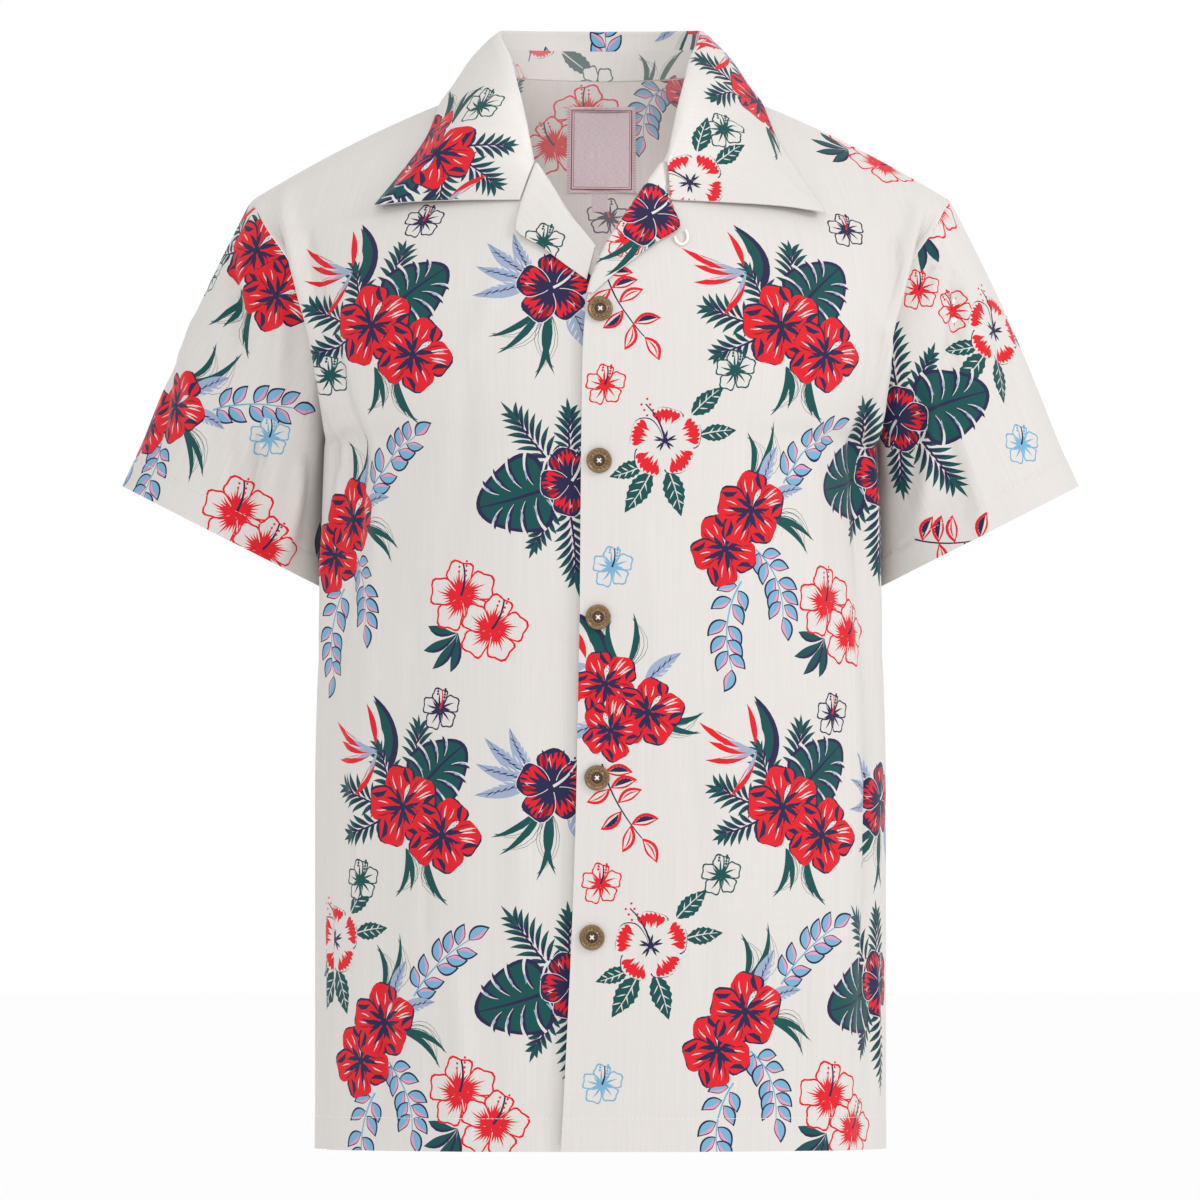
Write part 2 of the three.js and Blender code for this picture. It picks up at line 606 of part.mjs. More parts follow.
function button(spot) {
  const [t, s] = placeAt('over', spot.x, spot.z);
  const normal = wayOut('over', t, s);
  const mesh = new THREE.Mesh(buttonGeometry(), brass);
  mesh.quaternion.setFromUnitVectors(vec(0, 1, 0), normal);
  mesh.position.copy(surface('over', t, s)).addScaledVector(normal, SEAM);
  return mesh;
}

// A thin turned loop of cloth at the corner of the upper front's lapel.
function buttonLoop() {
  const path = new THREE.CatmullRomCurve3(
    LOOP.route.map(({ x, z }) => on('over', x, z, LOOP.lift)));
  const section = new THREE.Shape().absarc(0, 0, LOOP.radius, 0, 2 * Math.PI);
  return new THREE.ExtrudeGeometry(section, { extrudePath: path, steps: 14, curveSegments: 4 });
}

const clothMaterial = () => new THREE.MeshStandardMaterial({ color: 0xf0eae4, roughness: 0.85 });
const brass = new THREE.MeshStandardMaterial({ color: 0x9a7b52, roughness: 0.45, metalness: 0.8 });
const woven = new THREE.MeshStandardMaterial({ color: 0xcdb9bd, roughness: 0.8 });

const group = new THREE.Group();
function add(name, geometry, material) {
  const mesh = new THREE.Mesh(geometry, material);
  mesh.name = name;
  group.add(mesh);
}

add('front_right', front('under'), clothMaterial());
add('front_left', front('over'), clothMaterial());
add('back', back(), clothMaterial());
add('sleeve_right', sleeve(-1), clothMaterial());
add('sleeve_left', sleeve(1), clothMaterial());
add('collar_stand', collarStand(), clothMaterial());
add('collar_leaf', collarLeaf(), clothMaterial());
add('lapel_right', lapel('under'), clothMaterial());
add('lapel_left', lapel('over'), clothMaterial());
add('button_loop', buttonLoop(), clothMaterial());
add('neck_label', innerPatch(LABEL), woven);
add('size_tab', innerPatch(TAB), woven);
BUTTONS.forEach((spot, k) => {
  const mesh = button(spot);
  mesh.name = `button_${k + 1}`;
  group.add(mesh);
});

export default group;
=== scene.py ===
# A short-sleeved shirt with an open notched collar and an all-over flower print, as if worn.
# Lengths are millimetres until a mesh is made, which is in metres. +Z is up, the front faces -Y,
# and the wearer's left side is +X.

import math

import bpy
import numpy as np
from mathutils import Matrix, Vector
from mathutils.geometry import delaunay_2d_cdt


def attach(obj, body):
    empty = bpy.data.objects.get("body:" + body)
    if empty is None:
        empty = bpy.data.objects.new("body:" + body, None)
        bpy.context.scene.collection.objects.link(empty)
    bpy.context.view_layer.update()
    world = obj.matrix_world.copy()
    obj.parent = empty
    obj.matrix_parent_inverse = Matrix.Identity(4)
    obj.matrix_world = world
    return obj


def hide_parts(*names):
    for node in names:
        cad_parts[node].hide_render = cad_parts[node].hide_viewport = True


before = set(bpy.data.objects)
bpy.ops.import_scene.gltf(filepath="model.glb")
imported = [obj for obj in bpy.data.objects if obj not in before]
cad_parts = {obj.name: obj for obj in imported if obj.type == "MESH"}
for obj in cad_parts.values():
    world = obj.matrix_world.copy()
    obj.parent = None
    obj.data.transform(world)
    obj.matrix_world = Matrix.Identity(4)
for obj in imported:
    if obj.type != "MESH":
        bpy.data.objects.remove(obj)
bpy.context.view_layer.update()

MM = 0.001

# Driving sizes, as in the frame
CLOTH = 1.6            # wall of the frame's cloth
SHELL = 0.9            # wall of the cloth that shows
LAP = 3.8              # how far the under front passes behind the upper one
SQUARE = 0.87          # exponent of the torso's rounded section, 1 is an ellipse
WRAP = math.pi / 2
NECK_HALF, NECK_SIDE_Y, NECK_BACK_Y, NECK_BACK_Z, NECK_SIDE_Z = 60, 12, 78, 15, 17
BUTTON_RADIUS, BUTTON_THICK = 8.8, 2.6
SEAM = 0.35            # space that a seam leaves
HEM_Z = -735

# Lines of the nets, down and across
PANEL_ROWS, FRONT_COLS, BACK_COLS = 480, 240, 420
SLEEVE_ROWS, SLEEVE_COLS = 170, 300
COLLAR_COLS = 130
LAPEL_ROWS, LAPEL_COLS = 90, 60
FLAT_ROWS, FLAT_COLS = 34, 34

# Sewing: the depth of the turned hems, the line beside the armhole, a stitch and its gap
BODY_HEM, SLEEVE_HEM = 23, 21
ARM_STITCH = 9.5
STITCH, STITCH_GAP = 2.4, 0.8


class Table:
    """Rows of named columns, each column followed along its own smooth curve."""

    def __init__(self, names, rows):
        self.names = names.split()
        self.rows = np.array(rows, float)
        step = np.diff(self.rows, axis=0)
        self.slope = np.zeros_like(self.rows)
        self.slope[0], self.slope[-1] = step[0], step[-1]
        before, after = step[:-1], step[1:]
        total = np.where(before + after == 0, 1, before + after)
        self.slope[1:-1] = np.where(before * after > 0, 2 * before * after / total, 0)

    def at(self, place):
        """The columns at fractional rows."""
        place = np.clip(np.asarray(place, float), 0, len(self.rows) - 1)
        k = np.minimum(place.astype(int), len(self.rows) - 2)
        u = (place - k)[..., None]
        a, b, da, db = self.rows[k], self.rows[k + 1], self.slope[k], self.slope[k + 1]
        found = a + u * (da + u * (3 * (b - a) - 2 * da - db + u * (2 * (a - b) + da + db)))
        return {name: found[..., i] for i, name in enumerate(self.names)}


FRONT = Table("over under neckY neckZ armX armY armZ round arch drape tuck", [
    [60, 60, 12, 17, 246, 12, -70, 0, 7, 0, 0],
    [60, 61, -12, 6, 242, -3, -76, 0.35, 6, 1, 0],
    [56, 57.5, -41, -14, 235, -17, -89, 0.6, 4, 5, 3],
    [44, 46, -76, -43, 223, -29, -106, 0.8, 2, 9, 7],
    [33, 36, -94, -59, 213, -38, -123, 0.95, 1, 11, 7],
    [19, 23, -112, -80, 206.5, -43, -141, 1, 0, 11, 5],
    [2, 2, -128, -107, 202.5, -45, -158, 1, 0, 10, 3],
    [-9, -14, -139, -139, 199, -43, -180, 1, 0, 9, 1],
    [-12.3, -15, -145, -172, 195.5, -32, -204, 1, 0, 8, 0],
    [-13, -15, -148, -207, 192, -9, -227, 1, 0, 8, 0],
    [-13.5, -15, -149, -245, 190, 22, -245, 1, 0, 9, 0],
    [-14, -15, -148, -300, 191, 22, -300, 1, 0, 10, 0],
    [-14.4, -15, -147, -350, 194.5, 20, -350, 1, 0, 8, 0],
    [-15.5, -15, -145, -410, 199, 18, -410, 1, 0, 3, 0],
    [-17, -15, -142, -490, 200.6, 16, -490, 1, 0, 0, 0],
    [-20, -15, -139, -580, 200.6, 15, -580, 1, 0, 0, 0],
    [-24, -15, -136, -665, 200.6, 15, -665, 1, 0, 0, 0],
    [-27.7, -15, -133, -735, 200.6, 15, -735, 1, 0, 0, 0],
])
UNDERARM, HEM = 10, 17

BACK = Table("midY midZ armY", [
    [78, 15, 12], [94, -9, 26], [108, -36, 40], [120, -66, 52], [128, -92, 61], [134, -118, 67],
    [138, -143, 70], [140, -170, 70], [141, -198, 61], [142, -222, 43], [142, -245, 22],
    [141, -300, 22], [140, -350, 20], [139, -410, 18], [138, -490, 16], [137, -580, 15],
    [136, -665, 15], [135, -735, 15],
])
NECK_SHARE = 0.22
NECK_FADE = 4.6

# Soft upright folds of the frame: place across, first level, last level, width, height, lean
FOLDS = {
    "over": [
        [0.80, 11, 17.5, 0.05, -3.4, -0.004], [0.62, 12.5, 19, 0.07, 2.6, 0.004],
        [0.42, 10, 18, 0.08, -1.6, 0.006], [0.26, 12, 19, 0.06, 1.4, -0.004],
    ],
    "under": [
        [0.88, 13, 20, 0.05, -4.2, -0.006], [0.73, 12, 20, 0.07, 2.8, 0.003],
        [0.50, 11.5, 17, 0.05, -2.4, 0.004], [0.30, 13, 19, 0.07, 1.6, 0.002],
    ],
    "back": [
        [-0.74, 8, 20, 0.06, 5.0, 0.006], [-0.58, 9, 19, 0.06, -4.6, 0.002],
        [-0.22, 10, 20, 0.08, 3.2, 0.004], [0.05, 11, 20, 0.07, -3.0, -0.003],
        [0.34, 9, 20, 0.07, 3.8, -0.002], [0.60, 8, 19, 0.06, -4.8, -0.004],
        [0.77, 9, 20, 0.06, 4.4, -0.006],
    ],
}

COLLAR_SEAMS = [0, 1, 2, 3, 4, 5, 5.6, 6, 6.5, 7]
COLLAR = Table("rollX rollY rollZ share edgeX edgeZ ownX ownZ lift", [
    [0, 90, 50.5, 0.6, 0, -4, 0, -4, 5],
    [30, 86, 50.5, 0.6, 38, -4, 38, -4, 5],
    [54, 69, 50.5, 0.6, 72, -6, 73, -6, 5],
    [68, 42, 50.3, 0.6, 96, -9, 98, -8, 4],
    [71, 8, 47, 0.6, 109, 3, 110, 3, 4],
    [63, -24, 29, 0.6, 122, -29, 124, -31, 3],
    [59, -41, 13, 0.55, 156, -78, 155, -83, 7],
    [56, -49, 2, 0.5, 128, -75, 126, -78, 6],
    [51, -63, -20, 0.4, 88, -72.5, 84, -74, 4],
    [46, -79, -44, 0.25, 56, -71.5, 48.6, -71.5, 2.4],
])
SHOULDER = 4
STAND_END, LEAF_END = 6.5, 7
ROLL_HALF = 2.6

LAPEL_OFF = 0.45
LAPEL = {
    "under": Table("level edgeX edgeZ lift", [
        [3.1, 55.2, -73.8, 2.2], [3.6, 58.5, -92, 4], [4.5, 41, -104.5, 2.6],
        [5.4, 23, -117.5, 2.2], [5.9, 9.5, -127, 2.2],
    ]),
    "over": Table("level edgeX edgeZ lift", [
        [3.1, 47.4, -73.8, 2.2], [3.6, 55, -90, 4], [4.5, 38, -102, 2.6],
        [5.5, 18, -116.5, 2.2], [6.2, 5, -127, 2.2], [6.9, -5.5, -136.5, 2.2],
    ]),
}

CUFF_OUT_X, CUFF_OUT_Z, CUFF_IN_X, CUFF_IN_Z = 336, -270, 197, -340.5
CUFF_Y, CUFF_DEPTH, CUFF_SWELL = 31, 62, 5

BUTTONS = [(-0.3, -147), (-1, -252.7), (-1.7, -361.9), (-2.5, -473.9), (-6, -585.2)]


def mix(a, b, k):
    return a + (b - a) * k


def ease(a, b, x):
    k = np.clip((np.asarray(x, float) - a) / (b - a), 0, 1)
    return k * k * (3 - 2 * k)


def bell(x, middle, wide):
    return np.exp(-(((x - middle) / wide) ** 2))


def point(x, y, z):
    return np.stack(np.broadcast_arrays(*(np.asarray(v, float) for v in (x, y, z))), axis=-1)


def unit(v):
    return v / np.maximum(np.linalg.norm(v, axis=-1, keepdims=True), 1e-9)


def cos_of(t):
    return np.maximum(np.cos(WRAP * t), 0)


def front_form(name, t, s):
    """A front before its folds. t runs from its inner edge to the armhole, s down the levels."""
    r = FRONT.at(s)
    across = mix(t, np.sin(WRAP * t) ** SQUARE, r["round"])
    back = mix(t, 1 - cos_of(t) ** SQUARE, r["round"])
    edge = r[name]
    x = edge + (r["armX"] - edge) * across
    y = r["neckY"] + (r["armY"] - r["neckY"]) * back
    z = r["neckZ"] + (r["armZ"] - r["neckZ"]) * across + r["arch"] * 4 * t * (1 - t)
    if name == "under":
        return point(-x, y + LAP * ease(4.6, 6, s) * (1 - ease(22, 60, x)), z)
    return point(x, y, z)


def shoulder(t):
    """The shoulder seam, from the neck at 0 to the armhole at 1."""
    r = FRONT.at(0)
    z = mix(r["neckZ"], r["armZ"], t) + r["arch"] * 4 * t * (1 - t)
    return point(mix(NECK_HALF, r["armX"], t), r["armY"], z)


def back_top(k):
    """The top edge of a half back: a quarter of the neckline, then the shoulder seam."""
    share = np.clip(k / NECK_SHARE, 0, 1)
    turn = WRAP * share
    neckline = point(NECK_HALF * np.sin(turn),
                     NECK_SIDE_Y + (NECK_BACK_Y - NECK_SIDE_Y) * np.cos(turn),
                     mix(NECK_BACK_Z, NECK_SIDE_Z, share))
    seam = shoulder((k - NECK_SHARE) / (1 - NECK_SHARE))
    return np.where((k < NECK_SHARE)[..., None], neckline, seam)


def back_form(name, t, s):
    """The back before its folds. t runs from the wearer's right armhole, -1, to the left, 1."""
    t, s = np.broadcast_arrays(np.asarray(t, float), np.asarray(s, float))
    r, b = FRONT.at(s), BACK.at(s)
    k = np.abs(t)
    across = np.sin(WRAP * k) ** SQUARE
    lay = cos_of(k) ** SQUARE
    place = point(r["armX"] * across, b["armY"] + (b["midY"] - b["armY"]) * lay,
                  b["midZ"] + (r["armZ"] - b["midZ"]) * across)
    top = FRONT.at(0)
    plain = point(top["armX"] * across, NECK_SIDE_Y + (NECK_BACK_Y - NECK_SIDE_Y) * lay,
                  NECK_BACK_Z + (top["armZ"] - NECK_BACK_Z) * across)
    fade = (1 - np.clip(s / NECK_FADE, 0, 1))[..., None]
    place = place + (back_top(k) - plain) * fade ** 2
    place[..., 0] *= np.where(t < 0, -1, 1)
    return place


FORM = {"over": front_form, "under": front_form, "back": back_form}
STEP = 0.004
WAIST = -400


def way_out(name, t, s):
    """The way out of a panel's form: away from the garment's middle line."""
    low = -1 if name == "back" else 0
    t, s = np.broadcast_arrays(np.asarray(t, float), np.asarray(s, float))
    form = FORM[name]
    across = form(name, np.minimum(t + STEP, 1), s) - form(name, np.maximum(t - STEP, low), s)
    down = form(name, t, np.minimum(s + STEP, HEM)) - form(name, t, np.maximum(s - STEP, 0))
    normal = unit(np.cross(across, down))
    place = form(name, t, s)
    height = np.where(np.abs(normal[..., 2]) > 0.5, WAIST, place[..., 2])
    away = place - point(0, NECK_SIDE_Y, height)
    turned = np.sum(normal * away, axis=-1) < 0
    return np.where(turned[..., None], -normal, normal)


def surface(name, t, s):
    """A panel's outer face with the frame's folds."""
    t, s = np.broadcast_arrays(np.asarray(t, float), np.asarray(s, float))
    k = np.abs(t)
    r = FRONT.at(s)
    high = np.zeros_like(t)
    for at, start, end, wide, tall, lean in FOLDS[name]:
        along = ease(start, start + 3, s) * (1 - ease(end - 2.5, end, s))
        high = high + tall * along * bell(t, at + lean * (s - start), wide)
    if name == "back":
        high = high - 0.5 * r["drape"] * bell(k, 0.9, 0.05) * (1 - ease(8, 12, s))
    else:
        high = high + r["drape"] * bell(k, 0.845, 0.055) - r["tuck"] * bell(k, 0.94, 0.035)
    held = ease(0, 0.05, 1 - k) * ease(0, 0.8, s)
    return FORM[name](name, t, s) + way_out(name, t, s) * (high * held)[..., None]


NETS = {}


def place_at(name, x, z):
    """The place on a panel that is seen at x, z."""
    low = -1 if name == "back" else 0
    if name not in NETS:
        t, s = np.meshgrid(np.linspace(low, 1, 41), np.linspace(0, HEM, 69))
        NETS[name] = (t.ravel(), s.ravel(), surface(name, t, s).reshape(-1, 3))
    net_t, net_s, net = NETS[name]
    x, z = np.broadcast_arrays(np.asarray(x, float), np.asarray(z, float))
    shape = x.shape
    x, z = x.ravel(), z.ravel()
    nearest = np.argmin((net[:, 0] - x[:, None]) ** 2 + (net[:, 2] - z[:, None]) ** 2, axis=1)
    t, s = net_t[nearest].copy(), net_s[nearest].copy()
    for _ in range(7):
        p = surface(name, t, s)
        a = (surface(name, np.clip(t + STEP, low, 1), s) - p) / STEP
        b = (surface(name, t, np.clip(s + STEP, 0, HEM)) - p) / STEP
        det = a[:, 0] * b[:, 2] - a[:, 2] * b[:, 0]
        det = np.where(np.abs(det) < 1, np.inf, det)
        dx, dz = x - p[:, 0], z - p[:, 2]
        t = np.clip(t + (dx * b[:, 2] - dz * b[:, 0]) / det, low, 1 - STEP)
        s = np.clip(s + (a[:, 0] * dz - a[:, 2] * dx) / det, 0, HEM - STEP)
    return t.reshape(shape), s.reshape(shape)


def on(name, x, z, lift):
    """The point of a panel that is seen at x, z, moved out by lift."""
    t, s = place_at(name, x, z)
    lift = np.broadcast_to(lift, t.shape)
    return surface(name, t, s) + way_out(name, t, s) * lift[..., None]


def bilinear(values, row, col):
    """Values of a net at fractional rows and columns."""
    i = np.clip(row.astype(int), 0, values.shape[0] - 2)
    j = np.clip(col.astype(int), 0, values.shape[1] - 2)
    a, b = row - i, col - j
    if values.ndim == 3:
        a, b = a[..., None], b[..., None]
    top = values[i, j] * (1 - b) + values[i, j + 1] * b
    low = values[i + 1, j] * (1 - b) + values[i + 1, j + 1] * b
    return top * (1 - a) + low * a


FLAT_ROUNDS = 120
LEAST_PULL, MOST_PULL = 0.08, 12      # limits of the pull of one side of a triangle
THINNEST = 0.05                       # least height of a triangle, as a share of its base


def least_stretch(points):
    """Flat places of a coarse net, with the least change in the shapes of its triangles."""
    rows, cols = points.shape[:2]
    number = np.arange(rows * cols).reshape(rows, cols)
    a, b, c, d = (n.ravel() for n in (number[:-1, :-1], number[:-1, 1:], number[1:, 1:], number[1:, :-1]))
    corners = np.concatenate([np.stack([a, b, c], 1), np.stack([a, c, d], 1)])
    place = points.reshape(-1, 3)[corners]
    first, second = place[:, 1] - place[:, 0], place[:, 2] - place[:, 0]
    length = np.maximum(np.linalg.norm(first, axis=1), 1e-3)
    along = np.einsum("ij,ij->i", second, first) / length
    deep = np.maximum(np.sqrt(np.maximum((second ** 2).sum(axis=1) - along ** 2, 0)), THINNEST * length)
    own = np.zeros((len(corners), 3, 2))
    own[:, 1, 0] = length
    own[:, 2, 0], own[:, 2, 1] = along, -deep
    count = rows * cols
    pull = np.zeros((count, count))
    edges = []
    for k in range(3):
        i, j, far = k, (k + 1) % 3, (k + 2) % 3
        p, q = own[:, i] - own[:, far], own[:, j] - own[:, far]
        cross = np.abs(p[:, 0] * q[:, 1] - p[:, 1] * q[:, 0])
        weight = np.clip((p * q).sum(axis=1) / np.maximum(cross, 1e-6), LEAST_PULL, MOST_PULL)
        edges.append((i, j, weight))
        m, n = corners[:, i], corners[:, j]
        np.add.at(pull, (m, m), weight)
        np.add.at(pull, (n, n), weight)
        np.add.at(pull, (m, n), -weight)
        np.add.at(pull, (n, m), -weight)
    pull[0, 0] += 1
    solve = np.linalg.inv(pull)
    wide = np.linalg.norm(np.diff(points, axis=1), axis=2).mean()
    high = np.linalg.norm(np.diff(points, axis=0), axis=2).mean()
    across, down = np.meshgrid(np.arange(cols) * wide, np.arange(rows) * -high)
    flat = np.stack([across.ravel(), down.ravel()], 1)
    for _ in range(FLAT_ROUNDS):
        now = flat[corners]
        cos, sin = np.zeros(len(corners)), np.zeros(len(corners))
        for i, j, weight in edges:
            e, f = now[:, i] - now[:, j], own[:, i] - own[:, j]
            cos += weight * (e * f).sum(axis=1)
            sin += weight * (e[:, 1] * f[:, 0] - e[:, 0] * f[:, 1])
        size = np.maximum(np.hypot(cos, sin), 1e-9)
        cos, sin = cos / size, sin / size
        wanted = np.zeros((count, 2))
        for i, j, weight in edges:
            f = own[:, i] - own[:, j]
            moved = np.stack([cos * f[:, 0] - sin * f[:, 1], sin * f[:, 0] + cos * f[:, 1]], 1)
            np.add.at(wanted, corners[:, i], moved * weight[:, None])
            np.add.at(wanted, corners[:, j], -moved * weight[:, None])
        flat = solve @ wanted
    return flat.reshape(rows, cols, 2)


def fitted(flat, aim, weight):
    """Flat places turned and moved onto others as nearly as the weights ask."""
    weight = weight / weight.sum()
    from_middle, to_middle = ((p * weight[:, None]).sum(axis=0) for p in (flat, aim))
    a, b = flat - from_middle, aim - to_middle
    cos = (weight * (a * b).sum(axis=1)).sum()
    sin = (weight * (a[:, 0] * b[:, 1] - a[:, 1] * b[:, 0])).sum()
    return turned(a, math.atan2(sin, cos)) + to_middle


LOOKUP_PITCH = 4.0
LONGEST_STEP = 20.0


class Sheet:
    """A piece of cloth over an even net: its points, normals and place in the flat cut."""

    def __init__(self, points, outward, start_u, bottom_v, anchor=0):
        self.points = points
        self.outward = outward
        self.lay_flat(start_u, bottom_v, anchor)
        self.turn_normals()

    def lay_flat(self, start_u, bottom_v, anchor):
        """Flat places: u across and v up, with the least stretch, square at the anchor column."""
        across = np.linalg.norm(np.diff(self.points, axis=1), axis=2)
        down = np.linalg.norm(np.diff(self.points, axis=0), axis=2)
        rows, cols = self.points.shape[:2]
        v = np.zeros((rows, cols))
        u = np.zeros((rows, cols))
        for _ in range(4):
            rise = np.diff(v, axis=1)
            width = np.sqrt(np.maximum(across ** 2 - rise ** 2, (0.2 * across) ** 2))
            u[:, 1:] = np.cumsum(width, axis=1)
            u[:, 0] = 0
            u += (np.broadcast_to(start_u, rows) - u[:, anchor])[:, None]
            slide = np.diff(u, axis=0)
            fall = np.sqrt(np.maximum(down ** 2 - slide ** 2, (0.2 * down) ** 2))
            v[:-1] = np.cumsum(fall[::-1], axis=0)[::-1]
            v[-1] = 0
            v += np.broadcast_to(bottom_v, cols)[None, :]
        pick_r = np.unique(np.linspace(0, rows - 1, min(rows, FLAT_ROWS)).astype(int))
        pick_c = np.unique(np.linspace(0, cols - 1, min(cols, FLAT_COLS)).astype(int))
        picked = np.ix_(pick_r, pick_c)
        flat = least_stretch(self.points[picked])
        aim = np.stack([u[picked].ravel(), v[picked].ravel()], 1)
        lower = 0.02 + np.linspace(0, 1, len(pick_r))[:, None] ** 2
        near = bell(pick_c, anchor, cols * 0.3)[None, :] * lower
        flat = fitted(flat.reshape(-1, 2), aim, near.ravel()).reshape(flat.shape)
        row = np.interp(np.arange(rows), pick_r, np.arange(len(pick_r)))
        col = np.interp(np.arange(cols), pick_c, np.arange(len(pick_c)))
        row, col = np.meshgrid(row, col, indexing="ij")
        full = bilinear(flat, row, col)
        self.u, self.v = full[..., 0], full[..., 1]

    def turn_normals(self):
        across = np.gradient(self.points, axis=1)
        down = np.gradient(self.points, axis=0)
        normal = unit(np.cross(across, down))
        middle = tuple(n // 2 for n in normal.shape[:2])
        if np.dot(normal[middle], self.outward(self.points[middle])) < 0:
            normal = -normal
        self.normals = normal

    def push(self, height):
        """Moves the cloth out by a height at each place of its net."""
        self.points = self.points + self.normals * height[..., None]
        self.turn_normals()

    def find(self, flat):
        """Fractional rows and columns of flat places."""
        low = np.array([self.u.min(), self.v.min()]) - LOOKUP_PITCH
        size = (np.array([self.u.max(), self.v.max()]) - low) / LOOKUP_PITCH + 2
        lookup = np.full(size.astype(int), -1)
        cells = ((np.stack([self.u.ravel(), self.v.ravel()], 1) - low) / LOOKUP_PITCH).astype(int)
        lookup[cells[:, 0], cells[:, 1]] = np.arange(self.u.size)
        for _ in range(6):
            for axis in (0, 1):
                for way in (1, -1):
                    beside = np.roll(lookup, way, axis)
                    lookup = np.where(lookup < 0, beside, lookup)
        cell = np.clip(((flat - low) / LOOKUP_PITCH).astype(int), 0, np.array(lookup.shape) - 1)
        start = lookup[cell[:, 0], cell[:, 1]]
        row, col = (a.astype(float) for a in np.divmod(start, self.u.shape[1]))
        last_row, last_col = self.u.shape[0] - 1.001, self.u.shape[1] - 1.001
        for _ in range(8):
            du = flat[:, 0] - bilinear(self.u, row, col)
            dv = flat[:, 1] - bilinear(self.v, row, col)
            i = np.clip(row, 0, last_row - 1).astype(int)
            j = np.clip(col, 0, last_col - 1).astype(int)
            ur, uc = self.u[i + 1, j] - self.u[i, j], self.u[i, j + 1] - self.u[i, j]
            vr, vc = self.v[i + 1, j] - self.v[i, j], self.v[i, j + 1] - self.v[i, j]
            det = uc * vr - ur * vc
            det = np.where(np.abs(det) < 1e-6, np.inf, det)
            step_c, step_r = (du * vr - dv * ur) / det, (uc * dv - vc * du) / det
            col = np.clip(col + np.clip(step_c, -LONGEST_STEP, LONGEST_STEP), 0, last_col)
            row = np.clip(row + np.clip(step_r, -LONGEST_STEP, LONGEST_STEP), 0, last_row)
        return row, col

    def at_places(self, row, col):
        """Points and normals at fractional rows and columns."""
        row, col = np.array(row, float), np.array(col, float)
        return bilinear(self.points, row, col), unit(bilinear(self.normals, row, col))

    def at_flat(self, flat):
        """Points and normals at flat places."""
        return self.at_places(*self.find(np.asarray(flat, float)))


# Print colours, and the share of their light that the cloth gives back
GROUND, RED, DEEP, NAVY, TEAL, SKY, PERI, PINK = range(8)
INKS = [(241, 236, 231), (242, 24, 42), (158, 10, 34), (38, 36, 80), (8, 84, 84),
        (128, 190, 224), (170, 186, 216), (242, 166, 202)]
INK_DEPTH = 0.68


def linear(colour):
    c = np.array(colour) / 255
    return np.where(c <= 0.04045, c / 12.92, ((c + 0.055) / 1.055) ** 2.4)


INK_LINEAR = np.array([linear(c) for c in INKS]) * INK_DEPTH


def turned(points, angle):
    c, s = math.cos(angle), math.sin(angle)
    return points @ np.array([[c, s], [-s, c]])


def laid(shapes, x, y, turn=0.0):
    """Shapes moved to x, y after a turn in degrees."""
    return [(ink, turned(points, math.radians(turn)) + (x, y)) for ink, points in shapes]


def leaf(start, end, wide, bend=0.0, peak=0.45, count=None):
    """A pointed leaf, bent sideways by a share of its length."""
    start, end = np.array(start, float), np.array(end, float)
    along = end - start
    length = np.hypot(*along)
    k = np.linspace(0, 1, count or int(np.clip(length / 3.2, 4, 9)))
    side = np.array([-along[1], along[0]]) / length
    spine = start + np.outer(k, along) + np.outer(bend * length * 4 * k * (1 - k), side)
    tangent = unit(np.gradient(spine, axis=0))
    normal = np.stack([-tangent[:, 1], tangent[:, 0]], 1)
    half = wide * np.sin(math.pi * k ** (math.log(0.5) / math.log(peak)))
    left, right = spine + normal * half[:, None], spine - normal * half[:, None]
    return np.concatenate([left[:-1], right[:0:-1]])


def stroke(points, wide, taper=0.5):
    """A line of ink along points, thinner at its end."""
    spine = np.array(points, float)
    tangent = unit(np.gradient(spine, axis=0))
    normal = np.stack([-tangent[:, 1], tangent[:, 0]], 1)
    half = np.linspace(wide / 2, wide / 2 * taper, len(spine))[:, None]
    return np.concatenate([spine + normal * half, (spine - normal * half)[::-1]])


def arc(start, end, bend, count=7):
    """Points of a curve from start to end, bent sideways by a share of its length."""
    start, end = np.array(start, float), np.array(end, float)
    k = np.linspace(0, 1, count)
    along = end - start
    side = np.array([-along[1], along[0]])
    return start + np.outer(k, along) + np.outer(bend * 4 * k * (1 - k), side)


def dot(x, y, radius):
    """A small spot."""
    turn = np.linspace(0, 2 * math.pi, 6, endpoint=False)
    return np.stack([x + radius * np.cos(turn), y + radius * np.sin(turn)], 1)


def petal(reach, wide, ruffle, phase, grow=1.0, count=26):
    """A ruffled petal that points along +X from the flower's middle."""
    turn = np.linspace(-math.pi, math.pi, count, endpoint=False)
    outer = (1 + np.cos(turn)) / 2
    wave = 1 + ruffle * outer * np.sin(5 * turn + phase)
    x = reach * (0.55 + 0.45 * grow * np.cos(turn) * wave)
    y = wide * grow * np.sin(turn) * wave * (0.5 + 0.5 * outer)
    return np.stack([x, y], 1)


def pistil(reach, stem_ink, dot_ink, angle, wide=2.0):
    """A flower's long stalk with dots on both sides, turned by an angle in degrees."""
    tip = (0.95 * reach, 0.12 * reach)
    shapes = [(stem_ink, stroke(arc((0, 0), tip, -0.08), wide, 0.6))]
    for k in range(7):
        x = reach * (0.62 + 0.07 * k)
        y = 0.12 * reach * (x / reach) + (3.0 if k % 2 else -2.4)
        shapes.append((dot_ink, dot(x, y, 0.95)))
    return laid(shapes, 0, 0, angle)


PETAL_TURNS = (90, 20, -50, -125, 165)


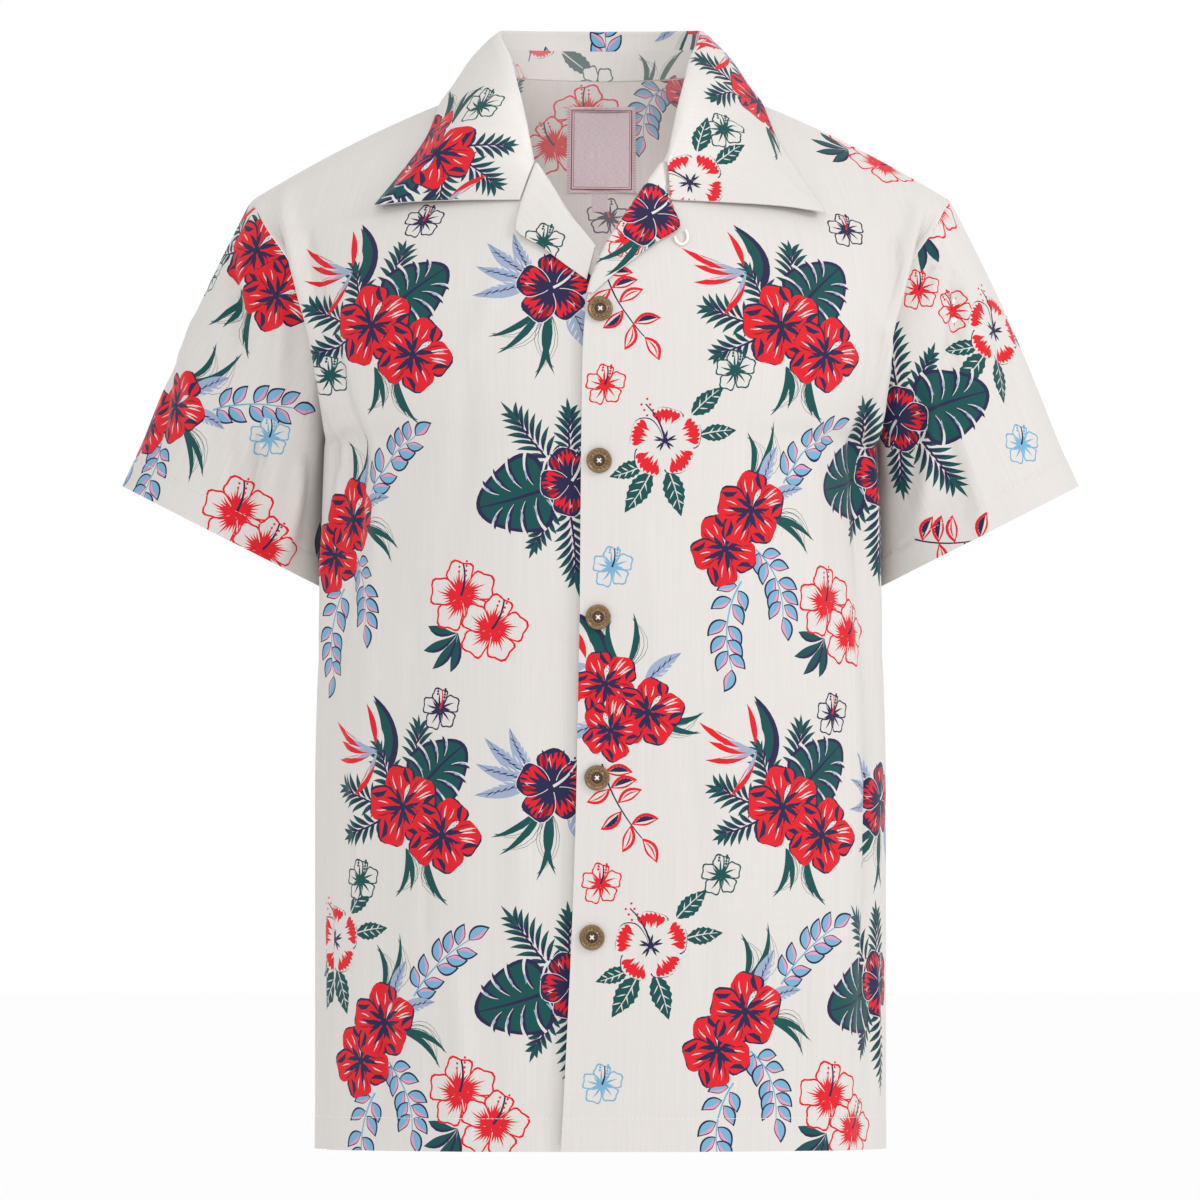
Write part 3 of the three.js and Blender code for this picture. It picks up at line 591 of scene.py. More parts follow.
def red_hibiscus(radius):
    """A full flower: broad red petals with dark folds, a few pale streaks and a dark heart."""
    shapes = []
    for k, turn in enumerate(PETAL_TURNS):
        reach = radius * (1.0, 1.06, 0.97, 1.04, 0.98)[k]
        wide = radius * 0.535
        one = [
            (NAVY, turned(petal(reach, wide, 0.085, k, 1.04), -0.07)),
            (RED, petal(reach * 0.99, wide, 0.085, k)),
            (NAVY, leaf((reach * 0.98, -wide * 0.4), (reach * 0.5, -wide * 0.66), wide * 0.14, -0.16)),
            (GROUND, leaf((reach * 0.36, wide * 0.14), (reach * 0.8, wide * 0.36), 0.5, 0.08)),
            (GROUND, leaf((reach * 0.44, -wide * 0.03), (reach * 0.78, -wide * 0.08), 0.42, -0.05)),
            (DEEP, leaf((reach * 0.34, wide * 0.3), (reach * 0.78, wide * 0.6), 0.6, 0.1)),
            (NAVY, leaf((reach * 0.04, 0.5), (reach * (0.52 + 0.05 * k), wide * 0.2), 1.9, 0.06, 0.36)),
            (NAVY, leaf((reach * 0.04, -0.5), (reach * 0.54, -wide * 0.32), 1.8, -0.08, 0.36)),
            (NAVY, leaf((reach * 0.04, 0.8), (reach * 0.4, wide * 0.46), 1.3, 0.1, 0.36)),
        ]
        if k == 1:
            for m in (-0.3, -0.12, 0.24, 0.46):
                one.append((GROUND, leaf((reach * 0.5, wide * m * 0.6), (reach * 0.9, wide * m), 0.55, 0.04)))
        shapes += laid(one, 0, 0, turn)
    shapes.append((NAVY, dot(0, 0, radius * 0.12)))
    shapes.append((GROUND, leaf((1, 1.5), (radius * 0.3, radius * 0.52), 1.7, 0.05, 0.7, 8)))
    for x, y in ((0.2, 0.36), (0.27, 0.4), (0.24, 0.47), (0.31, 0.49)):
        shapes.append((NAVY, dot(radius * x, radius * y, 0.42)))
    return shapes


def dark_hibiscus(radius):
    """A navy flower with broad red patches and pale touches in its petals."""
    shapes = []
    for k, turn in enumerate(PETAL_TURNS):
        reach = radius * (1.0, 1.05, 0.98, 1.05, 0.97)[k]
        wide = radius * 0.56
        one = [
            (GROUND, petal(reach, wide, 0.06, k + 2, 1.05)),
            (NAVY, petal(reach, wide, 0.06, k + 2)),
            (RED, petal(reach * 0.97, wide, 0.13, k + 4, 0.84)),
            (DEEP, leaf((reach * 0.5, wide * 0.34), (reach * 0.9, wide * 0.42), 2.0, 0.1)),
            (GROUND, leaf((reach * 0.5, wide * 0.1), (reach * 0.86, wide * 0.2), 0.9, 0.08)),
        ]
        for m in (-0.5, -0.16, 0.2, 0.5):
            tip = (reach * (0.8 - abs(m) * 0.3), wide * m)
            one.append((NAVY, leaf((reach * 0.06, m), tip, 1.7, 0.06)))
        for m in (-0.7, -0.36, 0.05, 0.42, 0.72):
            start = (reach * 0.98, wide * m * 0.75)
            one.append((NAVY, leaf(start, (reach * 0.7, wide * m * 0.55), 1.0, 0.05)))
        shapes += laid(one, 0, 0, turn)
    shapes.append((NAVY, dot(0, 0, radius * 0.18)))
    shapes += pistil(radius * 0.95, GROUND, NAVY, 38, 2.0)
    return shapes


def outline_hibiscus(radius, ink, stem=NAVY, streaks=7, line=1.5):
    """A flower drawn in outline, with fine streaks from its heart."""
    shapes = []
    for k, turn in enumerate(PETAL_TURNS):
        reach = radius * (1.0, 1.05, 0.97, 1.05, 0.98)[k]
        wide = radius * 0.54
        shrink = 1 - 2 * line / (0.9 * reach)
        one = [(ink, petal(reach, wide, 0.14, k)), (GROUND, petal(reach, wide, 0.14, k, shrink))]
        for m in np.linspace(-0.55, 0.55, streaks):
            far = reach * (0.78 - 0.35 * abs(m)) * (0.86 if int(m * 10) % 2 else 1)
            one.append((ink, leaf((reach * 0.1, 0), (far, wide * m), 0.5 + radius * 0.018, 0.05, 0.3, 6)))
        shapes += laid(one, 0, 0, turn)
    shapes.append((ink, dot(0, 0, radius * 0.17)))
    shapes += pistil(radius * 0.95, stem, ink, 75, 0.7 + radius * 0.05)
    return shapes


def streaked_hibiscus(radius):
    """A pale flower with ragged red petal ends, between toothed leaves."""
    shapes = []
    shapes += laid(toothed_leaf(30), 18, 19, 42)
    shapes += laid(toothed_leaf(27), 25, 5, 8)
    shapes += laid(toothed_leaf(25), -15, -17, -160)
    shapes += laid(toothed_leaf(34), -9, -21, -122)
    shapes += laid(toothed_leaf(33), 3, -20, -72)
    for k, turn in enumerate(PETAL_TURNS):
        reach = radius * (0.95, 1.06, 0.98, 1.05, 1.0)[k]
        wide = radius * 0.6
        one = [(NAVY, turned(petal(reach, wide, 0.05, k, 1.02), -0.04)),
               (GROUND, petal(reach, wide, 0.05, k, 1.0))]
        for n, m in enumerate((-0.62, -0.42, -0.21, 0.0, 0.2, 0.41, 0.62)):
            tip = (reach * (0.99 - 0.34 * m * m), wide * m)
            root = (reach * (0.5 if n % 2 else 0.6), wide * m * 0.62)
            one.append((RED, leaf(tip, root, 1.7, 0.04, 0.36, 7)))
        for m in (-0.1, 0.12):
            one.append((NAVY, leaf((reach * 0.05, 0), (reach * 0.34, wide * m), 0.9)))
        shapes += laid(one, 0, 0, turn)
    shapes.append((NAVY, dot(0, 0, radius * 0.11)))
    shapes += pistil(radius * 1.25, NAVY, RED, 112, 1.5)
    return shapes


def toothed_leaf(length):
    """A teal leaf with teeth and pale veins, along +X."""
    k = np.linspace(0, 1, 15)
    half = 0.24 * length * np.sin(math.pi * k ** 0.8) * np.where(np.arange(15) % 2, 1, 0.84)
    up = np.stack([k * length, half], 1)
    low = np.stack([k * length, -half], 1)
    shapes = [(TEAL, np.concatenate([up[:-1], low[:0:-1]]))]
    shapes.append((GROUND, stroke(arc((0, 0), (length * 0.86, 0.5), 0.03), 1.0, 0.4)))
    for m in (0.24, 0.44, 0.64):
        for way in (1, -1):
            tip = ((m + 0.16) * length, way * 0.15 * length)
            shapes.append((GROUND, leaf((m * length, 0), tip, 0.45, 0, 0.4, 5)))
    return shapes


def monstera(length):
    """A split heart-shaped leaf along +X: dark edge, teal body, slits, midrib and pale lights."""
    turn = np.linspace(-math.pi, math.pi, 36, endpoint=False)
    x = length * (0.44 + 0.5 * np.cos(turn) + 0.07 * np.cos(2 * turn))
    y = 0.47 * length * np.sin(turn) * (1 - 0.2 * np.cos(turn))
    body = np.stack([x, y], 1)
    middle = np.array((length * 0.46, 0))
    shapes = [(NAVY, body), (TEAL, (body - middle) * 0.9 + middle)]
    slits = [(0.02, -0.06, 0.34), (0.17, 0.2, 0.46), (0.32, 0.44, 0.48), (0.47, 0.66, 0.42),
             (0.62, 0.84, 0.31)]
    for m, far, out in slits:
        for way in (1, -1):
            inner = np.array((length * (m + 0.05), way * 0.08 * length))
            outer = np.array((length * far, way * out * length))
            shapes.append((NAVY, leaf(outer, inner - (1.6, 0), 1.7, way * 0.14, 0.4, 7)))
            shapes.append((GROUND, stroke(arc(outer * 1.05, inner, way * 0.14), 2.3, 0.12)))
            light = mix(inner, outer, 0.6) + (length * 0.075, 0)
            dim = mix(inner, outer, 0.2) + (length * 0.07, 0)
            shapes.append((PERI, leaf(dim, light, 0.75, way * 0.1, 0.5, 5)))
    shapes.append((NAVY, stroke(arc((-0.05 * length, 0), (length * 0.96, 0), 0.02), 3.0, 0.3)))
    return shapes


def palm(length, pairs=8, spread=1.0):
    """A frond along +X: a dark rib with curved leaflets on both sides."""
    shapes = []
    for k in range(pairs):
        m = (k + 0.4) / pairs
        reach = length * spread * (0.36 + 0.2 * math.sin(math.pi * m))
        for way in (1, -1):
            root = np.array((length * m, 0.0))
            lean = math.radians(62 - 34 * m)
            tip = root + reach * np.array((math.cos(lean), way * math.sin(lean)))
            shapes.append((TEAL, leaf(root, tip, 1.75, -way * 0.1, 0.5, 8)))
            shapes.append((NAVY, leaf(root, root + (tip - root) * 0.7, 0.9, -way * 0.13, 0.35, 6)))
    shapes.append((NAVY, stroke(arc((0, 0), (length, 0), 0.03), 1.8, 0.4)))
    shapes.append((TEAL, leaf((length * 0.92, 0), (length * 1.32, 1.5), 1.6)))
    return shapes


def grass(tips):
    """Long blades from one root: each a solid blade with fine lines beside it."""
    shapes = []
    for x, y, bend in tips:
        shapes.append((TEAL, leaf((0, 0), (x, y), 2.3, bend, 0.45, 9)))
        for k, wide in ((1.7, 0.6), (2.4, 0.45), (3.0, 0.4)):
            shapes.append((TEAL, stroke(arc((0.5, 0), (x * 0.93, y * 0.9), bend * k), wide, 0.5)))
    return shapes


def blue_leaf(length, way):
    """One leaf of the blue spray, along +X: dark edge, sky body and a pink side."""
    wide = 0.22 * length
    return [
        (NAVY, leaf((0, 0), (length, 0), wide * 1.22, way * 0.08, 0.46, 10)),
        (GROUND, leaf((length * 0.06, 0), (length * 0.88, 0), wide * 0.84, way * 0.08, 0.46, 9)),
        (PINK, leaf((length * 0.08, 0), (length * 0.84, -way * 0.3), wide * 0.8, way * 0.04, 0.46, 8)),
        (SKY, leaf((length * 0.06, 0.2 * way), (length * 0.9, 0.2 * way), wide * 0.66, way * 0.13, 0.46, 9)),
    ]


def blue_spray(length, pairs=5, bend=0.1):
    """A curved stem along +X with pairs of blue leaves."""
    spine = arc((0, 0), (length, 0), bend, 13)
    shapes = [(SKY, stroke(spine, 1.5, 0.5))]
    for k in range(pairs):
        m = (k + 0.5) / pairs
        at = spine[int(m * 12)]
        for way in (1, -1):
            size = 17.5 * (1 - 0.18 * abs(m - 0.5))
            lean = way * (50 - 10 * m) + math.degrees(math.atan(bend * 4 * (1 - 2 * m)))
            shapes += laid(blue_leaf(size, way), at[0] + way * 1.6, at[1] + way * 0.6, lean)
    shapes += laid(blue_leaf(18, 1), length, 0, -12)
    return shapes


def peri_leaf(length, veins=4, wide=0.16):
    """A periwinkle leaf along +X with dark veins on one side."""
    shapes = [(PERI, leaf((0, 0), (length, 0), wide * length, 0.06, 0.42, 10))]
    shapes.append((NAVY, stroke(arc((0, 0), (length * 0.95, 0), 0.06), 0.6, 0.5)))
    for k in range(veins):
        m = 0.2 + 0.6 * k / veins
        far = 0.66 * wide * length
        shapes.append((NAVY, leaf((m * length, 0.8), ((m + 0.16) * length, far), 0.4, 0, 0.4, 5)))
        shapes.append((GROUND, leaf((m * length, -0.8), ((m + 0.16) * length, -far), 0.5, 0, 0.4, 5)))
    return shapes


def red_leaf(length, dark):
    """One leaf of the red sprig, along +X, outlined, with a dark or a bare middle."""
    inner, wide = (NAVY, 0.09) if dark else (RED, 0.03)
    return [
        (RED, leaf((0, 0), (length, 0), 0.22 * length, 0.08, 0.5, 9)),
        (GROUND, leaf((length * 0.12, 0), (length * 0.88, 0), 0.13 * length, 0.08, 0.5, 8)),
        (inner, leaf((length * 0.15, 0.3), (length * 0.86, 0.3), wide * length, 0.12, 0.5, 7)),
    ]


def bird_flower():
    """Pointed red and pale blades that fan out to the left of a tall dark bract."""
    shapes = []
    for x, y, wide in ((-42, 23, 3.0), (-36, 9, 2.9), (-39, -4, 2.6), (-22, -30, 2.8)):
        shapes.append((RED, leaf((0, 0), (x, y), wide, 0.07, 0.55)))
        shapes.append((PERI, leaf((0, 0), (x * 0.66, y * 0.66), wide * 0.5, 0.07)))
        shapes.append((GROUND, leaf((x * 0.3, y * 0.3), (x * 0.8, y * 0.8 + 0.8), 0.5, 0.09)))
    shapes.append((RED, leaf((-1, 4), (-6, 33), 2.4, -0.06)))
    shapes.append((NAVY, leaf((10, -14), (0, 38), 6.4, -0.12, 0.42, 11)))
    shapes.append((TEAL, leaf((7.4, -9), (-0.4, 35), 4.0, -0.13, 0.42, 10)))
    shapes.append((GROUND, leaf((4.5, 0), (1.2, 20), 1.1, -0.12, 0.45, 7)))
    return shapes


def leaf_fan():
    """Four teal leaves from one place."""
    shapes = []
    x, y = -12, -16
    for turn, length in ((168, 24), (205, 30), (232, 32), (258, 28)):
        tip = (x + length * math.cos(math.radians(turn)), y + length * math.sin(math.radians(turn)))
        shapes.append((NAVY, leaf((x, y), tip, 3.8, 0.08, 0.6)))
        shapes.append((TEAL, leaf((x, y), tip, 2.5, 0.05, 0.62)))
    return shapes


def red_sprig():
    """A leaning stem with red leaves: place on the stem, lean in degrees, dark or bare."""
    spine = arc((-14, 30), (14, -22), -0.06, 11)
    shapes = [(NAVY, stroke(spine, 1.3, 0.6))]
    leaves = [(1, 10, 1), (3, 28, 1), (5, 40, 0), (8, 22, 1), (3, 220, 0), (6, 232, 1), (8, 262, 0),
              (10, -48, 0)]
    for at, lean, dark in leaves:
        shapes += laid(red_leaf(20, dark), spine[at][0], spine[at][1], lean - 10)
    return shapes


# Clusters, from the lowest motif to the one on top: motif, x, y, turn in degrees
CLUSTERS = {
    # Two red flowers with a split leaf, fronds, grass and a flower of pointed blades
    "A": [
        (palm(34, 7, 1.0), -14, 10, 108), (palm(36, 7, 0.95), 4, 20, 84),
        (palm(36, 7, 0.95), -22, 2, 158), (palm(30, 6, 0.9), -24, -6, 200),
        (bird_flower(), -28, 42, 4), (monstera(50), 6, 13, 42),
        (grass(((-10, -34, 0.16), (4, -30, 0.12))), -4, -26, 0),
        (grass(((16, -36, -0.12), (6, -30, -0.1))), 14, -30, 0),
        (red_hibiscus(28.5), -7, 3, 8), (red_hibiscus(26.5), 26, -17, -24),
    ],
    # Two red flowers with three blue sprays, grass and pale leaves
    "B": [
        (blue_spray(58, 5, 0.06), 28, 18, 42), (blue_spray(52, 5, 0.12), 4, -28, -66),
        (blue_spray(62, 5, -0.12), -8, -50, -98),
        (grass(((-2, 34, -0.16), (18, 42, -0.16))), -2, 20, 0),
        (grass(((40, -16, 0.12), (34, -26, 0.14))), 14, -6, 0),
        (peri_leaf(34), 8, 12, 66), (peri_leaf(30), 16, 7, 14),
        (red_hibiscus(25.5), -20, -27, 30), (red_hibiscus(26.5), 0, 0, 0),
    ],
    # Two outlined red flowers with a few teal leaves
    "C": [
        (leaf_fan(), 0, 0, 0), (outline_hibiscus(25, RED), -10, 10, 4),
        (outline_hibiscus(24, RED), 13, -13, -16),
    ],
    # A dark flower with long pale-blue leaves and grass
    "D": [
        (peri_leaf(40, 5, 0.12), -12, 6, 118), (peri_leaf(46, 5, 0.12), -12, 6, 143),
        (peri_leaf(44, 5, 0.12), -12, 6, 168), (peri_leaf(46, 5, 0.12), -12, 6, 196),
        (grass(((-36, -22, 0.1), (-30, -34, 0.1))), -8, -14, 0),
        (grass(((-10, -48, 0.08), (4, -44, -0.1))), -2, -18, 0),
        (peri_leaf(34, 4, 0.26), 12, -14, -68), (dark_hibiscus(26), 0, 0, 0),
    ],
    # A split leaf and fronds round a dark flower
    "E": [
        (palm(50, 9, 0.72), -2, 6, 128), (palm(40, 8, 0.75), 6, 8, 92),
        (palm(48, 9, 0.66), 4, -16, -84), (palm(34, 7, 0.7), -4, -12, -118),
        (monstera(56), -8, -2, 196), (dark_hibiscus(23), 6, 2, 24),
    ],
    "F": [(red_sprig(), 0, 0, 0)],
    "G": [(streaked_hibiscus(25), 0, 0, 0)],
    # Three red flowers with grass, pale leaves and a flower of pointed blades
    "L": [
        (bird_flower(), -26, 26, 14), (grass(((-10, 38, 0.16), (6, 40, -0.12))), 0, 22, 0),
        (grass(((36, 2, -0.14), (34, -12, -0.1))), 20, -10, 0),
        (peri_leaf(34), 14, 12, 40), (peri_leaf(32), -20, -14, 200),
        (red_hibiscus(23), -14, 12, 20), (red_hibiscus(24), 16, -8, -10),
        (red_hibiscus(21), -10, -20, 50),
    ],
}
# Small flowers in outline: their ink and that of their stalk
SMALL_RADIUS = 14.5
SMALL = {"t": (TEAL, TEAL), "r": (RED, NAVY), "s": (SKY, NAVY), "n": (NAVY, RED)}

MOTIFS = {kind: sum((laid(*row) for row in rows), []) for kind, rows in CLUSTERS.items()}
for kind, (ink, stem) in SMALL.items():
    MOTIFS[kind] = outline_hibiscus(SMALL_RADIUS, ink, stem, 3, 1.1)

# Where the clusters stand as seen from the front: kind, x, z and sometimes a turn in degrees
FRONT_PRINT = {
    "under": [
        ("A", -154, -161), ("A", -133, -497), ("B", -173, -293), ("B", -151, -645),
        ("C", -88, -357), ("C", -88, -703), ("D", -33, -132), ("D", -33, -480),
        ("E", -26, -269), ("E", -26, -620), ("G", -186, -588), ("t", -168, -546),
        ("n", -112, -426), ("n", -124, -85), ("t", -189, -193), ("A", -118, 30),
    ],
    "over": [
        ("A", 133, -161), ("A", 133, -497), ("B", 105, -287), ("B", 101, -637),
        ("C", 164, -361), ("C", 168, -707), ("D", 196, -490), ("E", 192, -620), ("E", 193, -262),
        ("F", 16, -145), ("F", 15, -494), ("G", 45, -239), ("G", 35, -591), ("L", 17, -420),
        ("s", 8, -327), ("s", 1, -688), ("r", 3, -200), ("r", 0, -548), ("t", 94, -190),
        ("t", 84, -542), ("n", 162, -430), ("n", 172, -91), ("C", 190, -30),
    ],
}
SLEEVE_PRINT = {
    "under": [("A", -238, -110, -27), ("B", -298, -214, -32), ("C", -247, -300, -10), ("t", -273, -123),
              ("s", -232, -236)],
    "over": [("C", 216, -60), ("r", 223, -133), ("r", 246, -147, 40), ("G", 276, -161, -20),
             ("E", 213, -222, 180), ("s", 295, -241), ("F", 252, -308, 62)],
}
LEAF_PRINT = [("t", -83, -4), ("A", -122, -40, 180), ("t", 87, -21), ("G", 62, -58, 30),
              ("A", 116, -6, -27)]
LAPEL_PRINT = {"under": [("t", -40, -100)], "over": [("r", 17, -98), ("D", 36, -80)]}

# The chart of one repeat, for the back, the stand and the outer parts of the sleeves: kind, u, v
REPEAT_WIDE, REPEAT_HIGH = 300, 348
CLUSTER_REACH = 90
REPEAT = [
    ("A", 0, 0), ("B", -14, -128), ("C", 62, -198), ("D", 128, 20), ("E", 134, -108),
    ("F", -112, 12), ("r", -126, -40), ("G", -84, -80), ("s", -124, -166), ("L", -112, -258),
    ("n", 36, -268), ("t", -42, -36),
]


def seen(sheet, x, z, facing=1):
    """The flat place of a sheet's point at x, z, seen from the front, or from behind at -1.

    At 0 it stays on the sheet, otherwise a place beside the sheet counts on from its edge.
    """
    away = (sheet.points[..., 0] - x) ** 2 + (sheet.points[..., 2] - z) ** 2
    away = away + np.where(sheet.normals[..., 1] * (facing or 1) > 0.15, 1e6, 0)
    k = np.unravel_index(np.argmin(away), away.shape)
    dx, dz = x - sheet.points[k][0], z - sheet.points[k][2]
    return sheet.u[k] + dx * facing, sheet.v[k] + dz * abs(facing)


def placed(sheet, places):
    """Clusters where they are seen from the front, each turned as it is seen."""
    shapes = []
    for kind, x, z, *turn in places:
        left, right = (np.array(seen(sheet, x + step, z, 0)) for step in (-12, 12))
        across = right - left
        grain = math.degrees(math.atan2(across[1], across[0])) if np.hypot(*across) > 6 else 0
        shapes += laid(MOTIFS[kind], *seen(sheet, x, z), grain + sum(turn))
    return shapes


def repeated(sheet, from_u, from_v, keep=lambda u, v: True):
    """The charted repeat over a whole sheet."""
    shapes = []
    low_u, high_u = sheet.u.min() - CLUSTER_REACH, sheet.u.max() + CLUSTER_REACH
    low_v, high_v = sheet.v.min() - CLUSTER_REACH, sheet.v.max() + CLUSTER_REACH
    for i in range(-5, 6):
        for j in range(-5, 6):
            for kind, u, v in REPEAT:
                u, v = u + from_u + i * REPEAT_WIDE, v + from_v + j * REPEAT_HIGH
                if low_u < u < high_u and low_v < v < high_v and keep(u, v):
                    shapes += laid(MOTIFS[kind], u, v)
    return shapes


def anticlockwise(points):
    """The points of an outline in the order that the triangulation takes as its inside."""
    x, y = points[:, 0], points[:, 1]
    return points if np.dot(x, np.roll(y, -1)) > np.dot(y, np.roll(x, -1)) else points[::-1]


def chosen(count, spacing_total, pitch):
    """Evenly spread lines of a net, about pitch apart."""
    wanted = max(2, int(math.ceil(spacing_total / pitch)) + 1)
    return np.unique(np.round(np.linspace(0, count - 1, wanted)).astype(int))


def size_of(points):
    """The area inside an outline."""
    x, y = points[:, 0], points[:, 1]
    return 0.5 * abs(np.dot(x, np.roll(y, -1)) - np.dot(y, np.roll(x, -1)))


def inside(points, places):
    """True for the places inside an outline."""
    x, y = places[:, :1], places[:, 1:]
    ax, ay = points[:, 0], points[:, 1]
    bx, by = np.roll(ax, -1), np.roll(ay, -1)
    spans = (ay > y) != (by > y)
    rise = np.where(by == ay, 1.0, by - ay)
    crossed = spans & (x < ax + (y - ay) * (bx - ax) / rise)
    return crossed.sum(axis=1) % 2 == 1


MERGE = 1e-4           # points nearer than this are one point of the cut


def painted(verts, triangles, drawn):
    """The ink of each triangle: that of the last shape drawn over its middle."""
    middle = verts[triangles].mean(axis=1)
    order = np.argsort(middle[:, 0])
    sorted_u = middle[order, 0]
    ink = np.full(len(triangles), GROUND)
    for paint, points in drawn:
        (u0, v0), (u1, v1) = points.min(axis=0), points.max(axis=0)
        near = order[np.searchsorted(sorted_u, u0):np.searchsorted(sorted_u, u1)]
        near = near[(middle[near, 1] > v0) & (middle[near, 1] < v1)]
        ink[near[inside(points, middle[near])]] = paint
    return ink


def ink_lines(triangles, ink):
    """The sides of triangles where the ink changes or the sheet ends."""
    sides = np.concatenate([triangles[:, [0, 1]], triangles[:, [1, 2]], triangles[:, [2, 0]]])
    sides = np.sort(sides, axis=1)
    paint = np.tile(ink, 3)
    order = np.lexsort((sides[:, 1], sides[:, 0]))
    sides, paint = sides[order], paint[order]
    same_next = np.append((sides[1:] == sides[:-1]).all(axis=1), False)
    same_last = np.insert(same_next[:-1], 0, False)
    change = np.append(paint[1:] != paint[:-1], False)
    return sides[(same_next & change) | (~same_next & ~same_last)]


def cut_triangles(points, lines, outlines):
    """Triangles inside the first of some outlines, along all the outlines and lines."""
    found = delaunay_2d_cdt([Vector(p) for p in points.tolist()], lines, outlines, 1, MERGE, True)
    verts = np.array([tuple(p) for p in found[0]])
    return verts, np.array([face for face, owners in zip(found[2], found[5]) if 0 in owners])


def cut_out(sheet, shapes, pitch, least=0.0, fine=0.0):
    """Triangles of a sheet in its flat cut, each with its ink, and the cut's outline.

    The first cut takes in every shape, and the second only the lines where the ink changes.
    Shapes under the least size are drawn only near the middle of the top edge.
    """
    rows, cols = sheet.u.shape
    top_middle = np.array((sheet.u[0, cols // 2], sheet.v[0, cols // 2]))
    long_way = np.hypot(np.diff(sheet.v[:, cols // 2]), np.diff(sheet.u[:, cols // 2])).sum()
    wide_way = np.hypot(np.diff(sheet.u, axis=1), np.diff(sheet.v, axis=1)).sum(axis=1).max()
    pick_r, pick_c = chosen(rows, long_way, pitch), chosen(cols, wide_way, pitch)
    top = [(0, c) for c in pick_c[:-1]]
    right = [(r, cols - 1) for r in pick_r[:-1]]
    low = [(rows - 1, c) for c in pick_c[:0:-1]]
    left = [(r, 0) for r in pick_r[:0:-1]]
    outline = top + right + low + left
    inner = [(r, c) for r in pick_r[1:-1] for c in pick_c[1:-1]]
    nodes = np.array(outline + inner)
    flat = [np.stack([sheet.u[nodes[:, 0], nodes[:, 1]], sheet.v[nodes[:, 0], nodes[:, 1]]], 1)]
    flat[0][:len(outline)] = anticlockwise(flat[0][:len(outline)])
    faces = [list(range(len(outline)))]
    drawn = []
    count = len(nodes)
    low_u, high_u, low_v, high_v = sheet.u.min(), sheet.u.max(), sheet.v.min(), sheet.v.max()
    for ink, points in shapes:
        if size_of(points) < least and np.linalg.norm(points[0] - top_middle) > fine:
            continue
        if points[:, 0].max() < low_u or points[:, 0].min() > high_u:
            continue
        if points[:, 1].max() < low_v or points[:, 1].min() > high_v:
            continue
        flat.append(anticlockwise(points))
        faces.append(list(range(count, count + len(points))))
        drawn.append((ink, points))
        count += len(points)
    net = flat[0][len(outline):]
    edge = flat[0][:len(outline)]
    verts, triangles = cut_triangles(np.concatenate(flat), [], faces)
    lines = ink_lines(triangles, painted(verts, triangles, drawn))
    used, lines = np.unique(lines, return_inverse=True)
    points = np.concatenate([edge, verts[used], net])
    lines = (lines.reshape(-1, 2) + len(edge)).tolist()
    verts, triangles = cut_triangles(points, lines, faces[:1])
    used, triangles = np.unique(triangles, return_inverse=True)
    verts, triangles = verts[used], triangles.reshape(-1, 3)
    return verts, triangles, painted(verts, triangles, drawn), edge


ROOT = "root"
BRIGHTEST = 0.95       # the most light that a colour gives back


def finished(obj, nodes, mat):
    """Puts a piece in the scene, on the body, in place of its nodes."""
    bpy.context.scene.collection.objects.link(obj)
    if mat is not None:
        obj.data.materials.append(mat)
    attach(obj, ROOT)
    if nodes:
        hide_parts(*nodes)
    return obj


